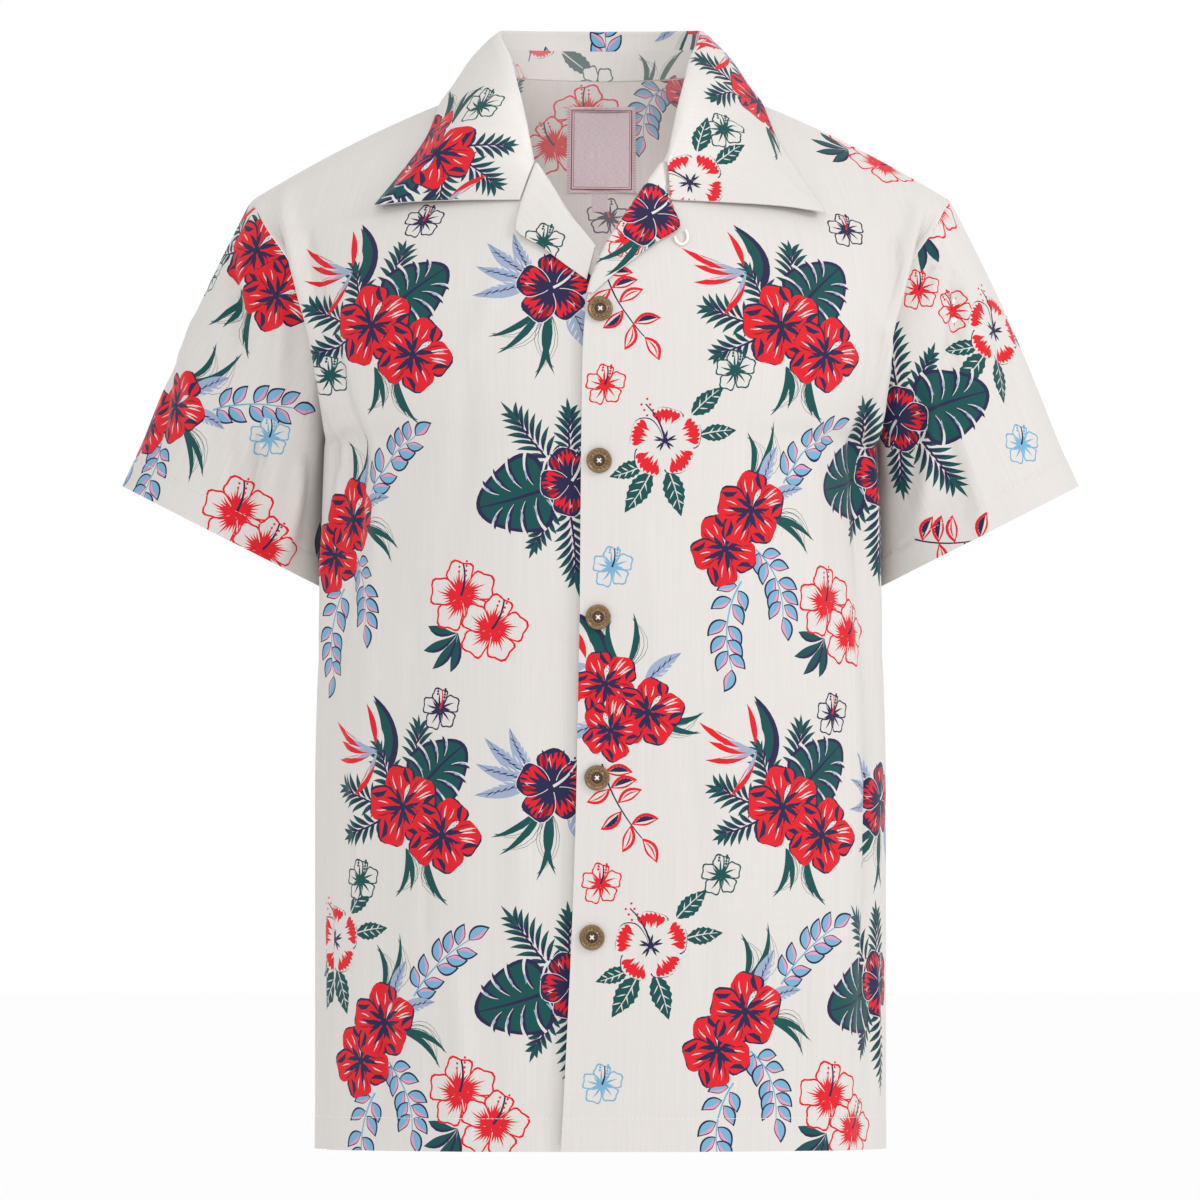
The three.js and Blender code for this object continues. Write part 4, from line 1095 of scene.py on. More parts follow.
def cloth(name, sheet, shapes, held, mat, pitch=6.0, thick=SHELL, slot="printed_cloth",
          palette=None, show=0.8, inside_painted_light=1.4, least=0.0, least_inside=12.0, fine=0.0):
    """A thin shell of cloth over a sheet, with its print in its outer and inner faces.

    The inside shows a share of the print's strength, and its colour is scaled by a factor of painted light:
    above 1 it lightens the inside against the shade within the garment, below 1 it paints it a little darker.
    """
    colours = INK_LINEAR if palette is None else palette
    verts, faces, flats, paints, normals = [], [], [], [], []
    count = 0
    for deep, drop, strength, lift in ((0, least, 1.0, 1.0), (thick, least_inside, show, inside_painted_light)):
        flat, triangles, ink, outline = cut_out(sheet, shapes, pitch, drop, fine)
        place, normal = sheet.at_flat(flat)
        a, b, c = (place[triangles[:, k]] for k in range(3))
        facing = np.einsum("ij,ij->i", np.cross(b - a, c - a), normal[triangles[:, 0]])
        if (facing.sum() < 0) != (deep > 0):
            triangles = triangles[:, ::-1]
        verts.append(place - normal * deep)
        faces += (triangles + count).tolist()
        flats.append(flat[triangles.ravel()])
        # The inner face's colour is multiplied by its painted-light factor, painted light that stands in for
        # what the garment's hollow shades off; the outer face keeps a factor of 1.
        colour = np.minimum(mix(colours[GROUND], colours[ink], strength) * lift, BRIGHTEST)
        paints.append(np.repeat(colour, 3, axis=0))
        normals.append((-normal if deep else normal)[triangles.ravel()])
        count += len(place)
    place, normal = sheet.at_flat(outline)
    ring = len(outline)
    j = np.arange(ring)
    n = (j + 1) % ring
    rim = np.stack([j, n, n + ring, j + ring], 1)
    way = unit(np.cross(place[n] - place[j], normal[j]))
    if np.dot(np.cross(place[n[0]] - place[0], -normal[0]), way[0]) < 0:
        rim = rim[:, ::-1]
    verts += [place, place - normal * thick]
    faces += (rim + count).tolist()
    flats.append(np.concatenate([outline, outline])[rim.ravel()])
    paints.append(np.repeat(colours[[GROUND]], rim.size, axis=0))
    normals.append(np.repeat(-way if sheet_turns(sheet) else way, 4, axis=0))
    mesh = bpy.data.meshes.new(name + "_cloth")
    mesh.from_pydata((np.concatenate(verts) * MM).tolist(), [], faces)
    layer = mesh.color_attributes.new(name="print", type="FLOAT_COLOR", domain="CORNER")
    paint = np.concatenate(paints)
    layer.data.foreach_set("color", np.concatenate([paint, np.ones((len(paint), 1))], 1).ravel())
    uv = mesh.uv_layers.new(name="flat")
    uv.data.foreach_set("uv", (np.concatenate(flats) * MM).ravel())
    mesh.polygons.foreach_set("use_smooth", np.ones(len(faces), bool))
    mesh.normals_split_custom_set(np.concatenate(normals).tolist())
    obj = finished(bpy.data.objects.new(name + "_cloth", mesh), [name], mat)


def sheet_turns(sheet):
    """True where u x v of the flat cut faces into the cloth."""
    i, j = (n // 2 for n in sheet.u.shape)
    across = sheet.points[i, j + 1] - sheet.points[i, j]
    down = sheet.points[i + 1, j] - sheet.points[i, j]
    du, dv = sheet.u[i, j + 1] - sheet.u[i, j], sheet.v[i + 1, j] - sheet.v[i, j]
    return np.dot(np.cross(across * np.sign(du), down * np.sign(dv)), sheet.normals[i, j]) < 0


# Soft creases: x and z of both ends as seen from the front, or from behind on the back,
# half the width, and the height, which is below zero for a trough
CREASE_GROWTH = 1.9
CREASES = {
    "under": [
        (-196, -150, -199, -345, 5, 2.0), (-187, -128, -189, -430, 7, -2.0),
        (-173, -190, -178, -540, 9, 1.6), (-122, -535, -124, -602, 4, -1.3),
        (-152, -600, -160, -738, 8, -1.8), (-190, -540, -192, -738, 7, -2.4),
        (-62, -420, -70, -700, 12, 1.2), (-96, -180, -110, -330, 10, -1.0),
        (-132, -330, -140, -520, 9, -1.0), (-104, -600, -100, -738, 9, 1.5),
        (-178, -420, -170, -640, 6, 1.3), (-205, -90, -190, -175, 4, -1.6),
        (-70, -110, -96, -190, 7, 0.9),
    ],
    "over": [
        (196, -150, 196, -330, 5, 2.0), (186, -136, 184, -420, 7, -2.0),
        (183, -370, 178, -690, 5, -2.3), (170, -330, 164, -640, 8, 1.7),
        (60, -450, 66, -722, 12, -1.3), (112, -560, 104, -738, 9, 1.6),
        (120, -150, 132, -330, 10, -1.0), (150, -180, 156, -380, 8, 1.1),
        (142, -600, 138, -738, 6, -1.5), (30, -300, 36, -460, 10, 0.8),
        (205, -90, 190, -175, 4, -1.6), (84, -330, 78, -520, 10, 1.0),
        (192, -600, 190, -738, 6, 1.6),
    ],
    "back": [
        (-60, -60, -150, -150, 12, -1.6), (60, -60, 150, -150, 12, -1.6),
        (-176, -120, -180, -420, 8, 2.4), (176, -130, 182, -400, 8, 2.2),
        (-120, -250, -128, -600, 12, -2.0), (118, -270, 124, -640, 12, -2.2),
        (-50, -380, -58, -737, 14, 1.8), (44, -420, 52, -737, 12, -1.6),
        (2, -150, -4, -420, 16, 1.0), (-168, -480, -172, -737, 9, -2.2),
        (170, -500, 166, -737, 9, 2.0), (90, -560, 94, -737, 8, 1.6),
    ],
    "sleeve_under": [
        (-260, -108, -250, -190, 6, -3.6), (-239, -226, -242, -294, 5.5, -3.4),
        (-221, -136, -236, -240, 8, 3.4), (-286, -150, -276, -276, 10, 2.4),
        (-210, -246, -224, -334, 6, 3.0), (-262, -205, -268, -304, 8, 2.6),
        (-302, -180, -314, -266, 8, -2.4),
    ],
    "sleeve_over": [
        (250, -112, 236, -214, 6, -3.8), (206, -120, 222, -86, 4, -3.0),
        (217, -112, 230, -82, 3.5, -2.6), (230, -190, 222, -310, 7, 3.4),
        (274, -146, 294, -266, 10, -2.6), (246, -220, 266, -326, 7, 2.8),
        (236, -96, 226, -156, 5, 2.4),
    ],
}


def crease_height(sheet, rows, facing=1):
    """The height of a sheet's creases, which bend a little and widen towards their second end."""
    high = np.zeros_like(sheet.u)
    for x0, z0, x1, z1, wide, tall in rows:
        start, end = np.array(seen(sheet, x0, z0, facing)), np.array(seen(sheet, x1, z1, facing))
        along = end - start
        length = np.hypot(*along)
        along /= length
        du, dv = sheet.u - start[0], sheet.v - start[1]
        far = du * along[0] + dv * along[1]
        off = -du * along[1] + dv * along[0]
        k = np.clip(far / length, 0, 1)
        bend = 0.04 * length * np.sin(math.pi * k)
        spread = wide * (0.7 + 0.6 * k)
        share = np.sin(math.pi * k ** 0.8) ** 0.9
        high += CREASE_GROWTH * tall * share * np.exp(-((off - bend) / spread) ** 2)
    return high


ARM_FADE = 2, 14       # where the creases begin, off the armhole's seam


def seam_groove(away, deep=0.7, wide=1.6):
    return -deep * np.exp(-(away / wide) ** 2)


def turned_hem(up, depth):
    """The height of a hem: a groove along its stitches and a second layer below them."""
    return seam_groove(up - depth, 0.5, 1.4) + 0.25 * ease(depth, depth - 2, up)


def panel_sheet(name):
    """A front or the back over an even net, with its creases, armhole seam and hem."""
    is_back = name == "back"
    cols = BACK_COLS if is_back else FRONT_COLS
    levels = np.linspace(0, HEM, PANEL_ROWS)
    t, s = np.meshgrid(np.linspace(-1 if is_back else 0, 1, cols), levels)
    start_u, anchor = (0, cols // 2) if is_back else (FRONT.at(levels)[name], 0)
    sheet = Sheet(surface(name, t, s), lambda p: p - point(0, NECK_SIDE_Y, p[2]), start_u, HEM_Z, anchor)
    if name != "over":
        sheet.u = -sheet.u
    arm = np.abs(sheet.u[:, [-1]] - sheet.u)
    if is_back:
        arm = np.minimum(arm, np.abs(sheet.u - sheet.u[:, [0]]))
    hem = sheet.v - sheet.v[[-1]]
    high = crease_height(sheet, CREASES[name], -1 if is_back else 1) * ease(*ARM_FADE, arm)
    sheet.push(high + seam_groove(arm) + turned_hem(hem, BODY_HEM))
    sheet.arm, sheet.hem = arm, hem
    return sheet


# The levels of the armhole's steps, from the shoulder down to the underarm
ARM_SPLITS = np.concatenate([np.linspace(0, 3, 6), np.linspace(3, UNDERARM, 11)[1:]])
ARM_STEPS = len(ARM_SPLITS) - 1


def sleeve_sheet(name):
    """A sleeve over a net: around from the underarm, along from the armhole to the hem."""
    side = 1 if name == "over" else -1
    cols, rows = SLEEVE_COLS, SLEEVE_ROWS
    ring = np.linspace(-ARM_STEPS, ARM_STEPS, cols)       # 0 on the shoulder
    s = np.interp(np.abs(ring), np.arange(len(ARM_SPLITS)), ARM_SPLITS)
    front_line = front_form(name, np.ones(cols), s)
    back_line = back_form("back", np.full(cols, float(side)), s)
    hole = np.where((ring < 0)[:, None], back_line, front_line)
    turn = ring / ARM_STEPS * math.pi
    cos, sin = np.cos(turn), np.sin(turn)
    end = point((CUFF_OUT_X + CUFF_IN_X) / 2 + (CUFF_OUT_X - CUFF_IN_X) / 2 * cos,
                CUFF_Y - CUFF_DEPTH * sin,
                (CUFF_OUT_Z + CUFF_IN_Z) / 2 + (CUFF_OUT_Z - CUFF_IN_Z) / 2 * cos)
    end[:, 0] *= side
    k = np.linspace(0, 1, rows)[:, None]
    outer = np.maximum(0, cos)
    swell = CUFF_SWELL * np.sin(math.pi * np.minimum(1, k * 1.2)) * (0.35 + 0.65 * outer)
    swell = np.where(cos < -0.6, 0, swell * 0.6)
    away = point(cos * 0.9 * side, -sin, cos * 0.44)
    points = mix(hole[None], end[None], k[..., None]) + swell[..., None] * away[None]
    middle = (hole.mean(axis=0) + end.mean(axis=0)) / 2
    sheet = Sheet(points, lambda p: p - middle, 0, -300, cols // 2)
    if side > 0:
        sheet.u = -sheet.u
    length = np.linalg.norm(end - hole, axis=1)[None]
    hem, start = (1 - k) * length, k * length
    high = crease_height(sheet, CREASES["sleeve_" + name]) * ease(*ARM_FADE, start)
    sheet.push(high + seam_groove(start) + turned_hem(hem, SLEEVE_HEM))
    sheet.hem = hem
    return sheet


def collar_at(c):
    """The collar's columns at a place along the neckline."""
    place = np.interp(c, COLLAR_SEAMS, np.arange(len(COLLAR_SEAMS)))
    return COLLAR.at(place)


def neck_seam(side, c):
    """The seam between the collar and the back or a front."""
    c = np.asarray(c, float)
    back = back_top(np.clip(c, 0, SHOULDER) / SHOULDER * NECK_SHARE) * (side, 1, 1)
    front = front_form("over" if side > 0 else "under", np.zeros_like(c), np.maximum(c - SHOULDER, 0))
    return np.where((c <= SHOULDER)[..., None], back, front)


def leaf_edge(side):
    """The leaf's free edge at the collar's stations, on the back, the shoulder seam or a front."""
    name = "over" if side > 0 else "under"
    spots = []
    for k, seam in enumerate(COLLAR_SEAMS):
        row = dict(zip(COLLAR.names, COLLAR.rows[k]))
        x, z = (row["ownX"], row["ownZ"]) if side > 0 else (row["edgeX"], row["edgeZ"])
        if seam == SHOULDER:
            arm = FRONT.rows[0][FRONT.names.index("armX")]
            place = shoulder((x - NECK_HALF) / (arm - NECK_HALF)) * (side, 1, 1)
            spots.append(place + (0, 0, row["lift"]))
        else:
            spots.append(on("back" if seam < SHOULDER else name, x * side, z, row["lift"]))
    return Table("x y z", [list(map(float, p)) for p in spots])


LEAF_EDGES = {1: leaf_edge(1), -1: leaf_edge(-1)}


def edge_at(side, c):
    """The leaf's free edge at a place along the neckline."""
    found = LEAF_EDGES[side].at(np.interp(c, COLLAR_SEAMS, np.arange(len(COLLAR_SEAMS))))
    return point(found["x"], found["y"], found["z"])


def clear(side, c, p, gap):
    """Keeps points of the leaf clear of the panel under them."""
    p = p.copy()
    front = c > SHOULDER + 0.7
    if front.any():
        under = on("over" if side > 0 else "under", p[front, 0], p[front, 2], gap)
        p[front, 1] = np.minimum(p[front, 1], under[:, 1])
    back = (c < SHOULDER - 0.8) & (p[:, 2] < 14)
    if back.any():
        under = on("back", p[back, 0], p[back, 2], gap)
        p[back, 1] = np.maximum(p[back, 1], under[:, 1])
    return p


def leaf_sections(side, c):
    """The collar leaf's sections: up the inside from the stand, over the fold, down."""
    r = collar_at(c)
    seam, edge = neck_seam(side, c), edge_at(side, c)
    roll = point(r["rollX"] * side, r["rollY"], r["rollZ"])
    inward = unit(point(-roll[:, 0], 20 - roll[:, 1], 0))
    foot = mix(seam, roll, r["share"][:, None]) + (0, 0, SEAM)
    flat = ease(6.2, 7, c)
    half = mix(ROLL_HALF, 1.2, flat)[:, None]
    lines = [foot, mix(foot, roll, 0.75) + inward * half * 0.35, roll + inward * half * 0.5,
             roll - inward * half * 0.7]
    bulge = mix(7, 1.5, flat)[:, None]
    for k in (0.12, 0.3, 0.5, 0.7, 0.86, 1):
        p = mix(roll, edge, k) - inward * (half * (1 - k) + bulge * math.sin(math.pi * k) * (1 - k))
        lines.append(clear(side, c, p, CLOTH + 0.6 + 1.2 * k) if k < 1 else p)
    return np.stack(lines)


def smooth_rows(lines, each):
    """More rows between the rows of a net, on smooth curves through them."""
    gap = np.linalg.norm(np.diff(lines, axis=0), axis=2).mean(axis=1)
    place = np.concatenate([[0], np.cumsum(gap)])
    slope = np.gradient(lines, place, axis=0)
    out = []
    for k in range(len(lines) - 1):
        h = place[k + 1] - place[k]
        for u in np.linspace(0, 1, each, endpoint=False):
            a, b = 2 * u ** 3 - 3 * u ** 2 + 1, u ** 3 - 2 * u ** 2 + u
            c, d = 3 * u ** 2 - 2 * u ** 3, u ** 3 - u ** 2
            out.append(a * lines[k] + b * h * slope[k] + c * lines[k + 1] + d * h * slope[k + 1])
    out.append(lines[-1])
    return np.array(out)


def collar_net(make, last):
    """Both halves of a collar piece in one net, from the wearer's right end to the left."""
    half = np.linspace(0, last, COLLAR_COLS)
    return np.concatenate([make(-1, half)[:, ::-1][:, :-1], make(1, half)], axis=1)


def leaf_sheet():
    points = smooth_rows(collar_net(leaf_sections, LEAF_END), 8)
    sheet = Sheet(points, lambda p: p - point(0, 30, 20), 0, 0, points.shape[1] // 2)
    sheet.u = -sheet.u
    return sheet


def stand_sections(side, c):
    """The stand's sections, from the neck seam up."""
    r = collar_at(c)
    seam = neck_seam(side, c)
    roll = point(r["rollX"] * side, r["rollY"], r["rollZ"])
    return np.stack([mix(seam, mix(seam, roll, r["share"][:, None]), k) for k in np.linspace(0, 1, 14)])


def stand_sheet():
    points = collar_net(stand_sections, STAND_END)
    return Sheet(points, lambda p: p - point(0, 0, p[2]), 0, 0, points.shape[1] // 2)


def lapel_sheet(name):
    """A lapel: round the front's edge in a small roll, then flat over the front."""
    side = 1 if name == "over" else -1
    table = LAPEL[name]
    k = np.linspace(0, len(table.rows) - 1, LAPEL_ROWS)
    r = table.at(k)
    fold = front_form(name, np.zeros_like(k), r["level"])
    u = np.linspace(0, 1, LAPEL_COLS)[None, :]
    x = mix(fold[:, :1], (r["edgeX"] * side)[:, None], u)
    z = mix(fold[:, 2:], r["edgeZ"][:, None], u)
    lift = CLOTH + LAPEL_OFF + (r["lift"][:, None] - CLOTH) * u * 0.8
    face = on(name, x, z, lift)
    t = np.zeros_like(k)
    normal = way_out(name, t, r["level"])
    inward = unit(front_form(name, t + 0.02, r["level"]) - fold)
    turn = np.linspace(-WRAP, WRAP, 12, endpoint=False)
    wrap = [fold + normal * (LAPEL_OFF + CLOTH * math.sin(a)) - inward * CLOTH * math.cos(a) for a in turn]
    points = np.concatenate([np.stack(wrap, 1), face], axis=1)
    sheet = Sheet(points, lambda p: point(0, -1, 0.2), 0, -140, 0)
    if side < 0:
        sheet.u = -sheet.u
    return sheet


def new_material(name):
    mat = bpy.data.materials.new(name)
    mat.use_nodes = True
    nodes, links = mat.node_tree.nodes, mat.node_tree.links
    shader = nodes["Principled BSDF"]
    return mat, nodes, links, shader


def yarn_noise(nodes, links, source, stretch, detail=3.0):
    """Streaks along the yarns: noise over the flat cut, stretched one way."""
    mapping = nodes.new("ShaderNodeMapping")
    mapping.inputs["Scale"].default_value = stretch
    links.new(source, mapping.inputs["Vector"])
    noise = nodes.new("ShaderNodeTexNoise")
    noise.inputs["Scale"].default_value = 1.0
    noise.inputs["Detail"].default_value = detail
    links.new(mapping.outputs["Vector"], noise.inputs["Vector"])
    return noise.outputs["Fac"]


def math_node(nodes, links, operation, a, b):
    node = nodes.new("ShaderNodeMath")
    node.operation = operation
    for k, value in enumerate((a, b)):
        if isinstance(value, (int, float)):
            node.inputs[k].default_value = value
        else:
            links.new(value, node.inputs[k])
    return node.outputs[0]


def ink_on_yarns(nodes, links, shader, yarns, limits):
    """The print's colour, lighter and darker with the yarns."""
    ink = nodes.new("ShaderNodeVertexColor")
    ink.layer_name = "print"
    tone = nodes.new("ShaderNodeMapRange")
    for socket, value in zip(("From Min", "From Max", "To Min", "To Max"), limits):
        tone.inputs[socket].default_value = value
    links.new(yarns, tone.inputs["Value"])
    blend = nodes.new("ShaderNodeVectorMath")
    blend.operation = "SCALE"
    links.new(ink.outputs["Color"], blend.inputs[0])
    links.new(tone.outputs["Result"], blend.inputs["Scale"])
    links.new(blend.outputs["Vector"], shader.inputs["Base Color"])


def bumped(nodes, links, shader, height, strength, distance):
    bump = nodes.new("ShaderNodeBump")
    bump.inputs["Strength"].default_value = strength
    bump.inputs["Distance"].default_value = distance
    links.new(height, bump.inputs["Height"])
    links.new(bump.outputs["Normal"], shader.inputs["Normal"])


def flat_places(nodes):
    """Places in the flat cut, in metres."""
    flat = nodes.new("ShaderNodeUVMap")
    flat.uv_map = "flat"
    return flat.outputs["UV"]


def printed_cloth():
    """Plain slub weave: the print's colour, thicker yarns both ways, a fine weave in the bump."""
    mat, nodes, links, shader = new_material("printed_cloth")
    flat = flat_places(nodes)
    upright = yarn_noise(nodes, links, flat, (620, 14, 1))
    level = yarn_noise(nodes, links, flat, (26, 760, 1))
    both = math_node(nodes, links, "ADD", upright, math_node(nodes, links, "MULTIPLY", level, 0.35))
    ink_on_yarns(nodes, links, shader, both, (0.45, 0.9, 0.965, 1.02))
    fine_up = yarn_noise(nodes, links, flat, (2600, 300, 1), 1.0)
    fine_level = yarn_noise(nodes, links, flat, (300, 2600, 1), 1.0)
    weave = math_node(nodes, links, "ADD", fine_up, fine_level)
    weave = math_node(nodes, links, "ADD", weave, both)
    bumped(nodes, links, shader, weave, 0.14, 0.0003)
    shader.inputs["Roughness"].default_value = 0.78
    shader.inputs["Specular IOR Level"].default_value = 0.25
    shader.inputs["Sheen Weight"].default_value = 0.12
    shader.inputs["Sheen Roughness"].default_value = 0.5
    return mat


def ribbon_material():
    """Ribbon with fine ribs along its length."""
    mat, nodes, links, shader = new_material("woven_label")
    ribs = yarn_noise(nodes, links, flat_places(nodes), (400, 3000, 1), 2.0)
    ink_on_yarns(nodes, links, shader, ribs, (0.35, 0.65, 0.86, 1.1))
    bumped(nodes, links, shader, ribs, 0.3, 0.0003)
    shader.inputs["Roughness"].default_value = 0.6
    shader.inputs["Sheen Weight"].default_value = 0.2
    return mat


def plain_material(name, colour, roughness, metal=0.0, vary=0.12, scale=900.0):
    """One colour with fine mottling and a slight bump."""
    mat, nodes, links, shader = new_material(name)
    place = nodes.new("ShaderNodeTexCoord")
    noise = nodes.new("ShaderNodeTexNoise")
    noise.inputs["Scale"].default_value = scale
    noise.inputs["Detail"].default_value = 4.0
    links.new(place.outputs["Object"], noise.inputs["Vector"])
    ramp = nodes.new("ShaderNodeValToRGB")
    base = linear(colour)
    ramp.color_ramp.elements[0].position = 0.3
    ramp.color_ramp.elements[1].position = 0.7
    ramp.color_ramp.elements[0].color = (*np.clip(base * (1 - vary), 0, 1), 1)
    ramp.color_ramp.elements[1].color = (*np.clip(base * (1 + vary), 0, 1), 1)
    links.new(noise.outputs["Fac"], ramp.inputs["Fac"])
    links.new(ramp.outputs["Color"], shader.inputs["Base Color"])
    bumped(nodes, links, shader, noise.outputs["Fac"], 0.2, 0.0002)
    shader.inputs["Roughness"].default_value = roughness
    shader.inputs["Metallic"].default_value = metal
    return mat


CLOTH_MAT = printed_cloth()
RIBBON_MAT = ribbon_material()
THREAD = plain_material("thread", (238, 230, 220), 0.7)
BRASS = plain_material("aged_brass", (124, 101, 72), 0.36, 0.75, 0.5, 1400)
DARK = plain_material("button_middle", (70, 48, 36), 0.55, 0.1, 0.4, 900)

sheets = {name: panel_sheet(name) for name in ("under", "over", "back")}
sheets["sleeve_under"], sheets["sleeve_over"] = sleeve_sheet("under"), sleeve_sheet("over")
sheets["leaf"], sheets["stand"] = leaf_sheet(), stand_sheet()
sheets["lapel_under"], sheets["lapel_over"] = lapel_sheet("under"), lapel_sheet("over")

prints = {name: placed(sheets[name], FRONT_PRINT[name]) for name in ("under", "over")}
prints["back"] = repeated(sheets["back"], -40, -160)
for name, x in (("under", -250), ("over", 250)):
    sheet = sheets["sleeve_" + name]
    front = np.sign(seen(sheet, x, -200)[0])
    outer = repeated(sheet, -190 * front, -150, lambda u, v: not -40 < u * front < 225)
    prints["sleeve_" + name] = outer + placed(sheet, SLEEVE_PRINT[name])
    prints["lapel_" + name] = placed(sheets["lapel_" + name], LAPEL_PRINT[name])
prints["leaf"] = repeated(sheets["leaf"], 30, -60, lambda u, v: abs(u) < 92)
prints["leaf"] += placed(sheets["leaf"], LEAF_PRINT)
prints["stand"] = repeated(sheets["stand"], 40, 60)

# The printed pieces: node, sheet, how the cloth is held, and what differs from the others
PIECES = [
    ("front_right", "under", "draped", {}),
    ("front_left", "over", "draped", {}),
    ("back", "back", "draped", {"pitch": 8, "least": 5, "least_inside": 60, "fine": 125}),
    ("sleeve_right", "sleeve_under", "draped", {}),
    ("sleeve_left", "sleeve_over", "draped", {}),
    # The collar's inner faces take a painted-light factor a little under 1, a slight painted shade in place
    # of the lightening of the other insides.
    ("collar_leaf", "leaf", "folded", {"inside_painted_light": 0.98}),
    ("collar_stand", "stand", "folded", {"inside_painted_light": 0.95}),
    ("lapel_right", "lapel_under", "folded", {}),
    ("lapel_left", "lapel_over", "folded", {}),
]
for node, name, held, settings in PIECES:
    cloth(node, sheets[name], prints[name], held, CLOTH_MAT, **settings)


def join_parts(name, parts, mats, nodes):
    """One mesh from several lists of points and faces, each with the number of its material."""
    verts, faces, which = [], [], []
    for points, part_faces, mat in parts:
        first = len(verts)
        verts.extend((np.asarray(points) * MM).tolist())
        faces.extend([[first + k for k in face] for face in part_faces])
        which.extend([mat] * len(part_faces))
    mesh = bpy.data.meshes.new(name)
    mesh.from_pydata(verts, [], faces)
    mesh.validate()
    for mat in mats:
        mesh.materials.append(mat)
    mesh.polygons.foreach_set("material_index", which)
    mesh.polygons.foreach_set("use_smooth", [True] * len(faces))
    finished(bpy.data.objects.new(name, mesh), nodes, None)


def ring_faces(rings, around):
    """Faces of a closed body of rings of points, with its two ends."""
    faces = []
    for i in range(rings - 1):
        for j in range(around):
            n = (j + 1) % around
            faces.append([i * around + j, i * around + n, (i + 1) * around + n, (i + 1) * around + j])
    faces.append(list(range(around))[::-1])
    faces.append([(rings - 1) * around + j for j in range(around)])
    return faces


def turned_part(profile, around, mat):
    """A body of revolution about +Y from radius and height pairs."""
    turn = np.linspace(0, 2 * math.pi, around, endpoint=False)
    rows = [point(radius * np.cos(turn), height, radius * np.sin(turn)) for radius, height in profile]
    return np.concatenate(rows), ring_faces(len(profile), around), mat


def tube(spine, radius, sides=6, mat=0):
    """A round thread along points."""
    spine = np.asarray(spine, float)
    tangent = unit(np.gradient(spine, axis=0))
    guide = np.array((0.3, 1.0, 0.2))
    first = unit(np.cross(tangent, guide))
    second = np.cross(tangent, first)
    turn = np.linspace(0, 2 * math.pi, sides, endpoint=False)
    ring = first[:, None] * np.cos(turn)[None, :, None] + second[:, None] * np.sin(turn)[None, :, None]
    verts = (spine[:, None] + ring * radius).reshape(-1, 3)
    return verts, ring_faces(len(spine), sides), mat


def frame_of(normal):
    """Rows that turn a part made about +Y so that +Y becomes the normal, and +Z stays up."""
    y = unit(np.asarray(normal, float))
    x = unit(np.cross(y, (0, 0, 1.0)))
    z = np.cross(x, y)
    return np.stack([x, y, z])


RELIEF_LEAVES, RELIEF_AT = 14, 5.95        # the ring of small leaves and its radius
LEAF_LONG, LEAF_WIDE, LEAF_LEAN = 1.15, 0.42, 0.55
HOLES, HOLES_AT, THREAD_HALF = 4, 1.9, 1.95
THREAD_APART, THREAD_RADIUS = 0.28, 0.26


def relief_leaf(j, height):
    """One small raised leaf of a button's ring, which leans in or out in turn."""
    turn = 2 * math.pi * j / RELIEF_LEAVES
    middle = np.array((RELIEF_AT * math.cos(turn), height - 0.5, RELIEF_AT * math.sin(turn)))
    radial = np.array((math.cos(turn), 0, math.sin(turn)))
    along = np.array((-math.sin(turn), 0, math.cos(turn)))
    lean = unit(along + radial * (LEAF_LEAN if j % 2 else -LEAF_LEAN))
    side = np.cross(lean, (0, 1, 0))
    verts = [middle + lean * LEAF_LONG, middle + side * LEAF_WIDE, middle - lean * LEAF_LONG,
             middle - side * LEAF_WIDE, middle + np.array((0, 0.5, 0))]
    return np.array(verts), [[0, 1, 4], [1, 2, 4], [2, 3, 4], [3, 0, 4], [3, 2, 1, 0]], 0


def button(k, x, z):
    """A turned button: rim, a ring of small leaves, a dark sunken middle, four holes, thread."""
    t, s = place_at("over", x, z)
    normal = way_out("over", t, s)
    base = surface("over", t, s) + normal * SEAM
    basis = frame_of(normal)
    r, h = BUTTON_RADIUS, BUTTON_THICK
    body = [(0.1, 0), (r - 1.4, 0), (r - 0.4, 0.3), (r, 0.9), (r, h - 0.9), (r - 0.25, h - 0.3),
            (r - 0.8, h), (r - 1.4, h - 0.15), (r - 1.7, h - 0.5), (4.9, h - 0.55), (4.7, h - 0.2),
            (4.4, h - 0.1), (4.1, h - 0.4), (3.9, h - 1.0), (0.1, h - 1.1)]
    middle = [(3.95, h - 1.02), (3.9, h - 0.98), (0.1, h - 1.02)]
    hole = [(0.75, h - 0.97), (0.68, h - 0.90), (0.55, h - 0.97), (0.5, h - 1.5), (0.05, h - 1.5)]
    parts = [turned_part(body, 64, 0)] + [relief_leaf(j, h) for j in range(RELIEF_LEAVES)]
    parts.append(turned_part(middle, 40, 1))
    for j in range(HOLES):
        turn = math.pi / 4 + math.pi / 2 * j
        verts, faces, mat = turned_part(hole, 14, 1)
        parts.append((verts + (HOLES_AT * math.cos(turn), 0, HOLES_AT * math.sin(turn)), faces, mat))
    line = np.linspace(-THREAD_HALF, THREAD_HALF, 9)
    rise = h - 0.75 + 0.25 * (1 - (line / THREAD_HALF) ** 2)
    for way in (1, -1):
        cos, sin = math.cos(math.pi / 4 * way), math.sin(math.pi / 4 * way)
        for off in (-THREAD_APART, THREAD_APART):
            spine = point(line * cos - off * sin, rise, line * sin + off * cos)
            parts.append(tube(spine, THREAD_RADIUS, 6, 2))
    moved = [(np.asarray(v) @ basis + base, f, m) for v, f, m in parts]
    join_parts(f"button_{k}_turned", moved, [BRASS, DARK, THREAD], [f"button_{k}"])


for k, (x, z) in enumerate(BUTTONS, 1):
    button(k, x, z)


# Neck label and tab, on the back's inside: left, right, top and bottom, and the ribbon's colours
LABEL_PLACE = (-24.1, 25.5, -1, -61.6)
TAB_PLACE = (-6.4, 5.3, -61.95, -75)
RIBBON_GROUND, BORDER, SIDE_STITCH = range(3)
RIBBON = np.array([linear(c) for c in ((232, 216, 220), (176, 48, 72), (206, 182, 190))])


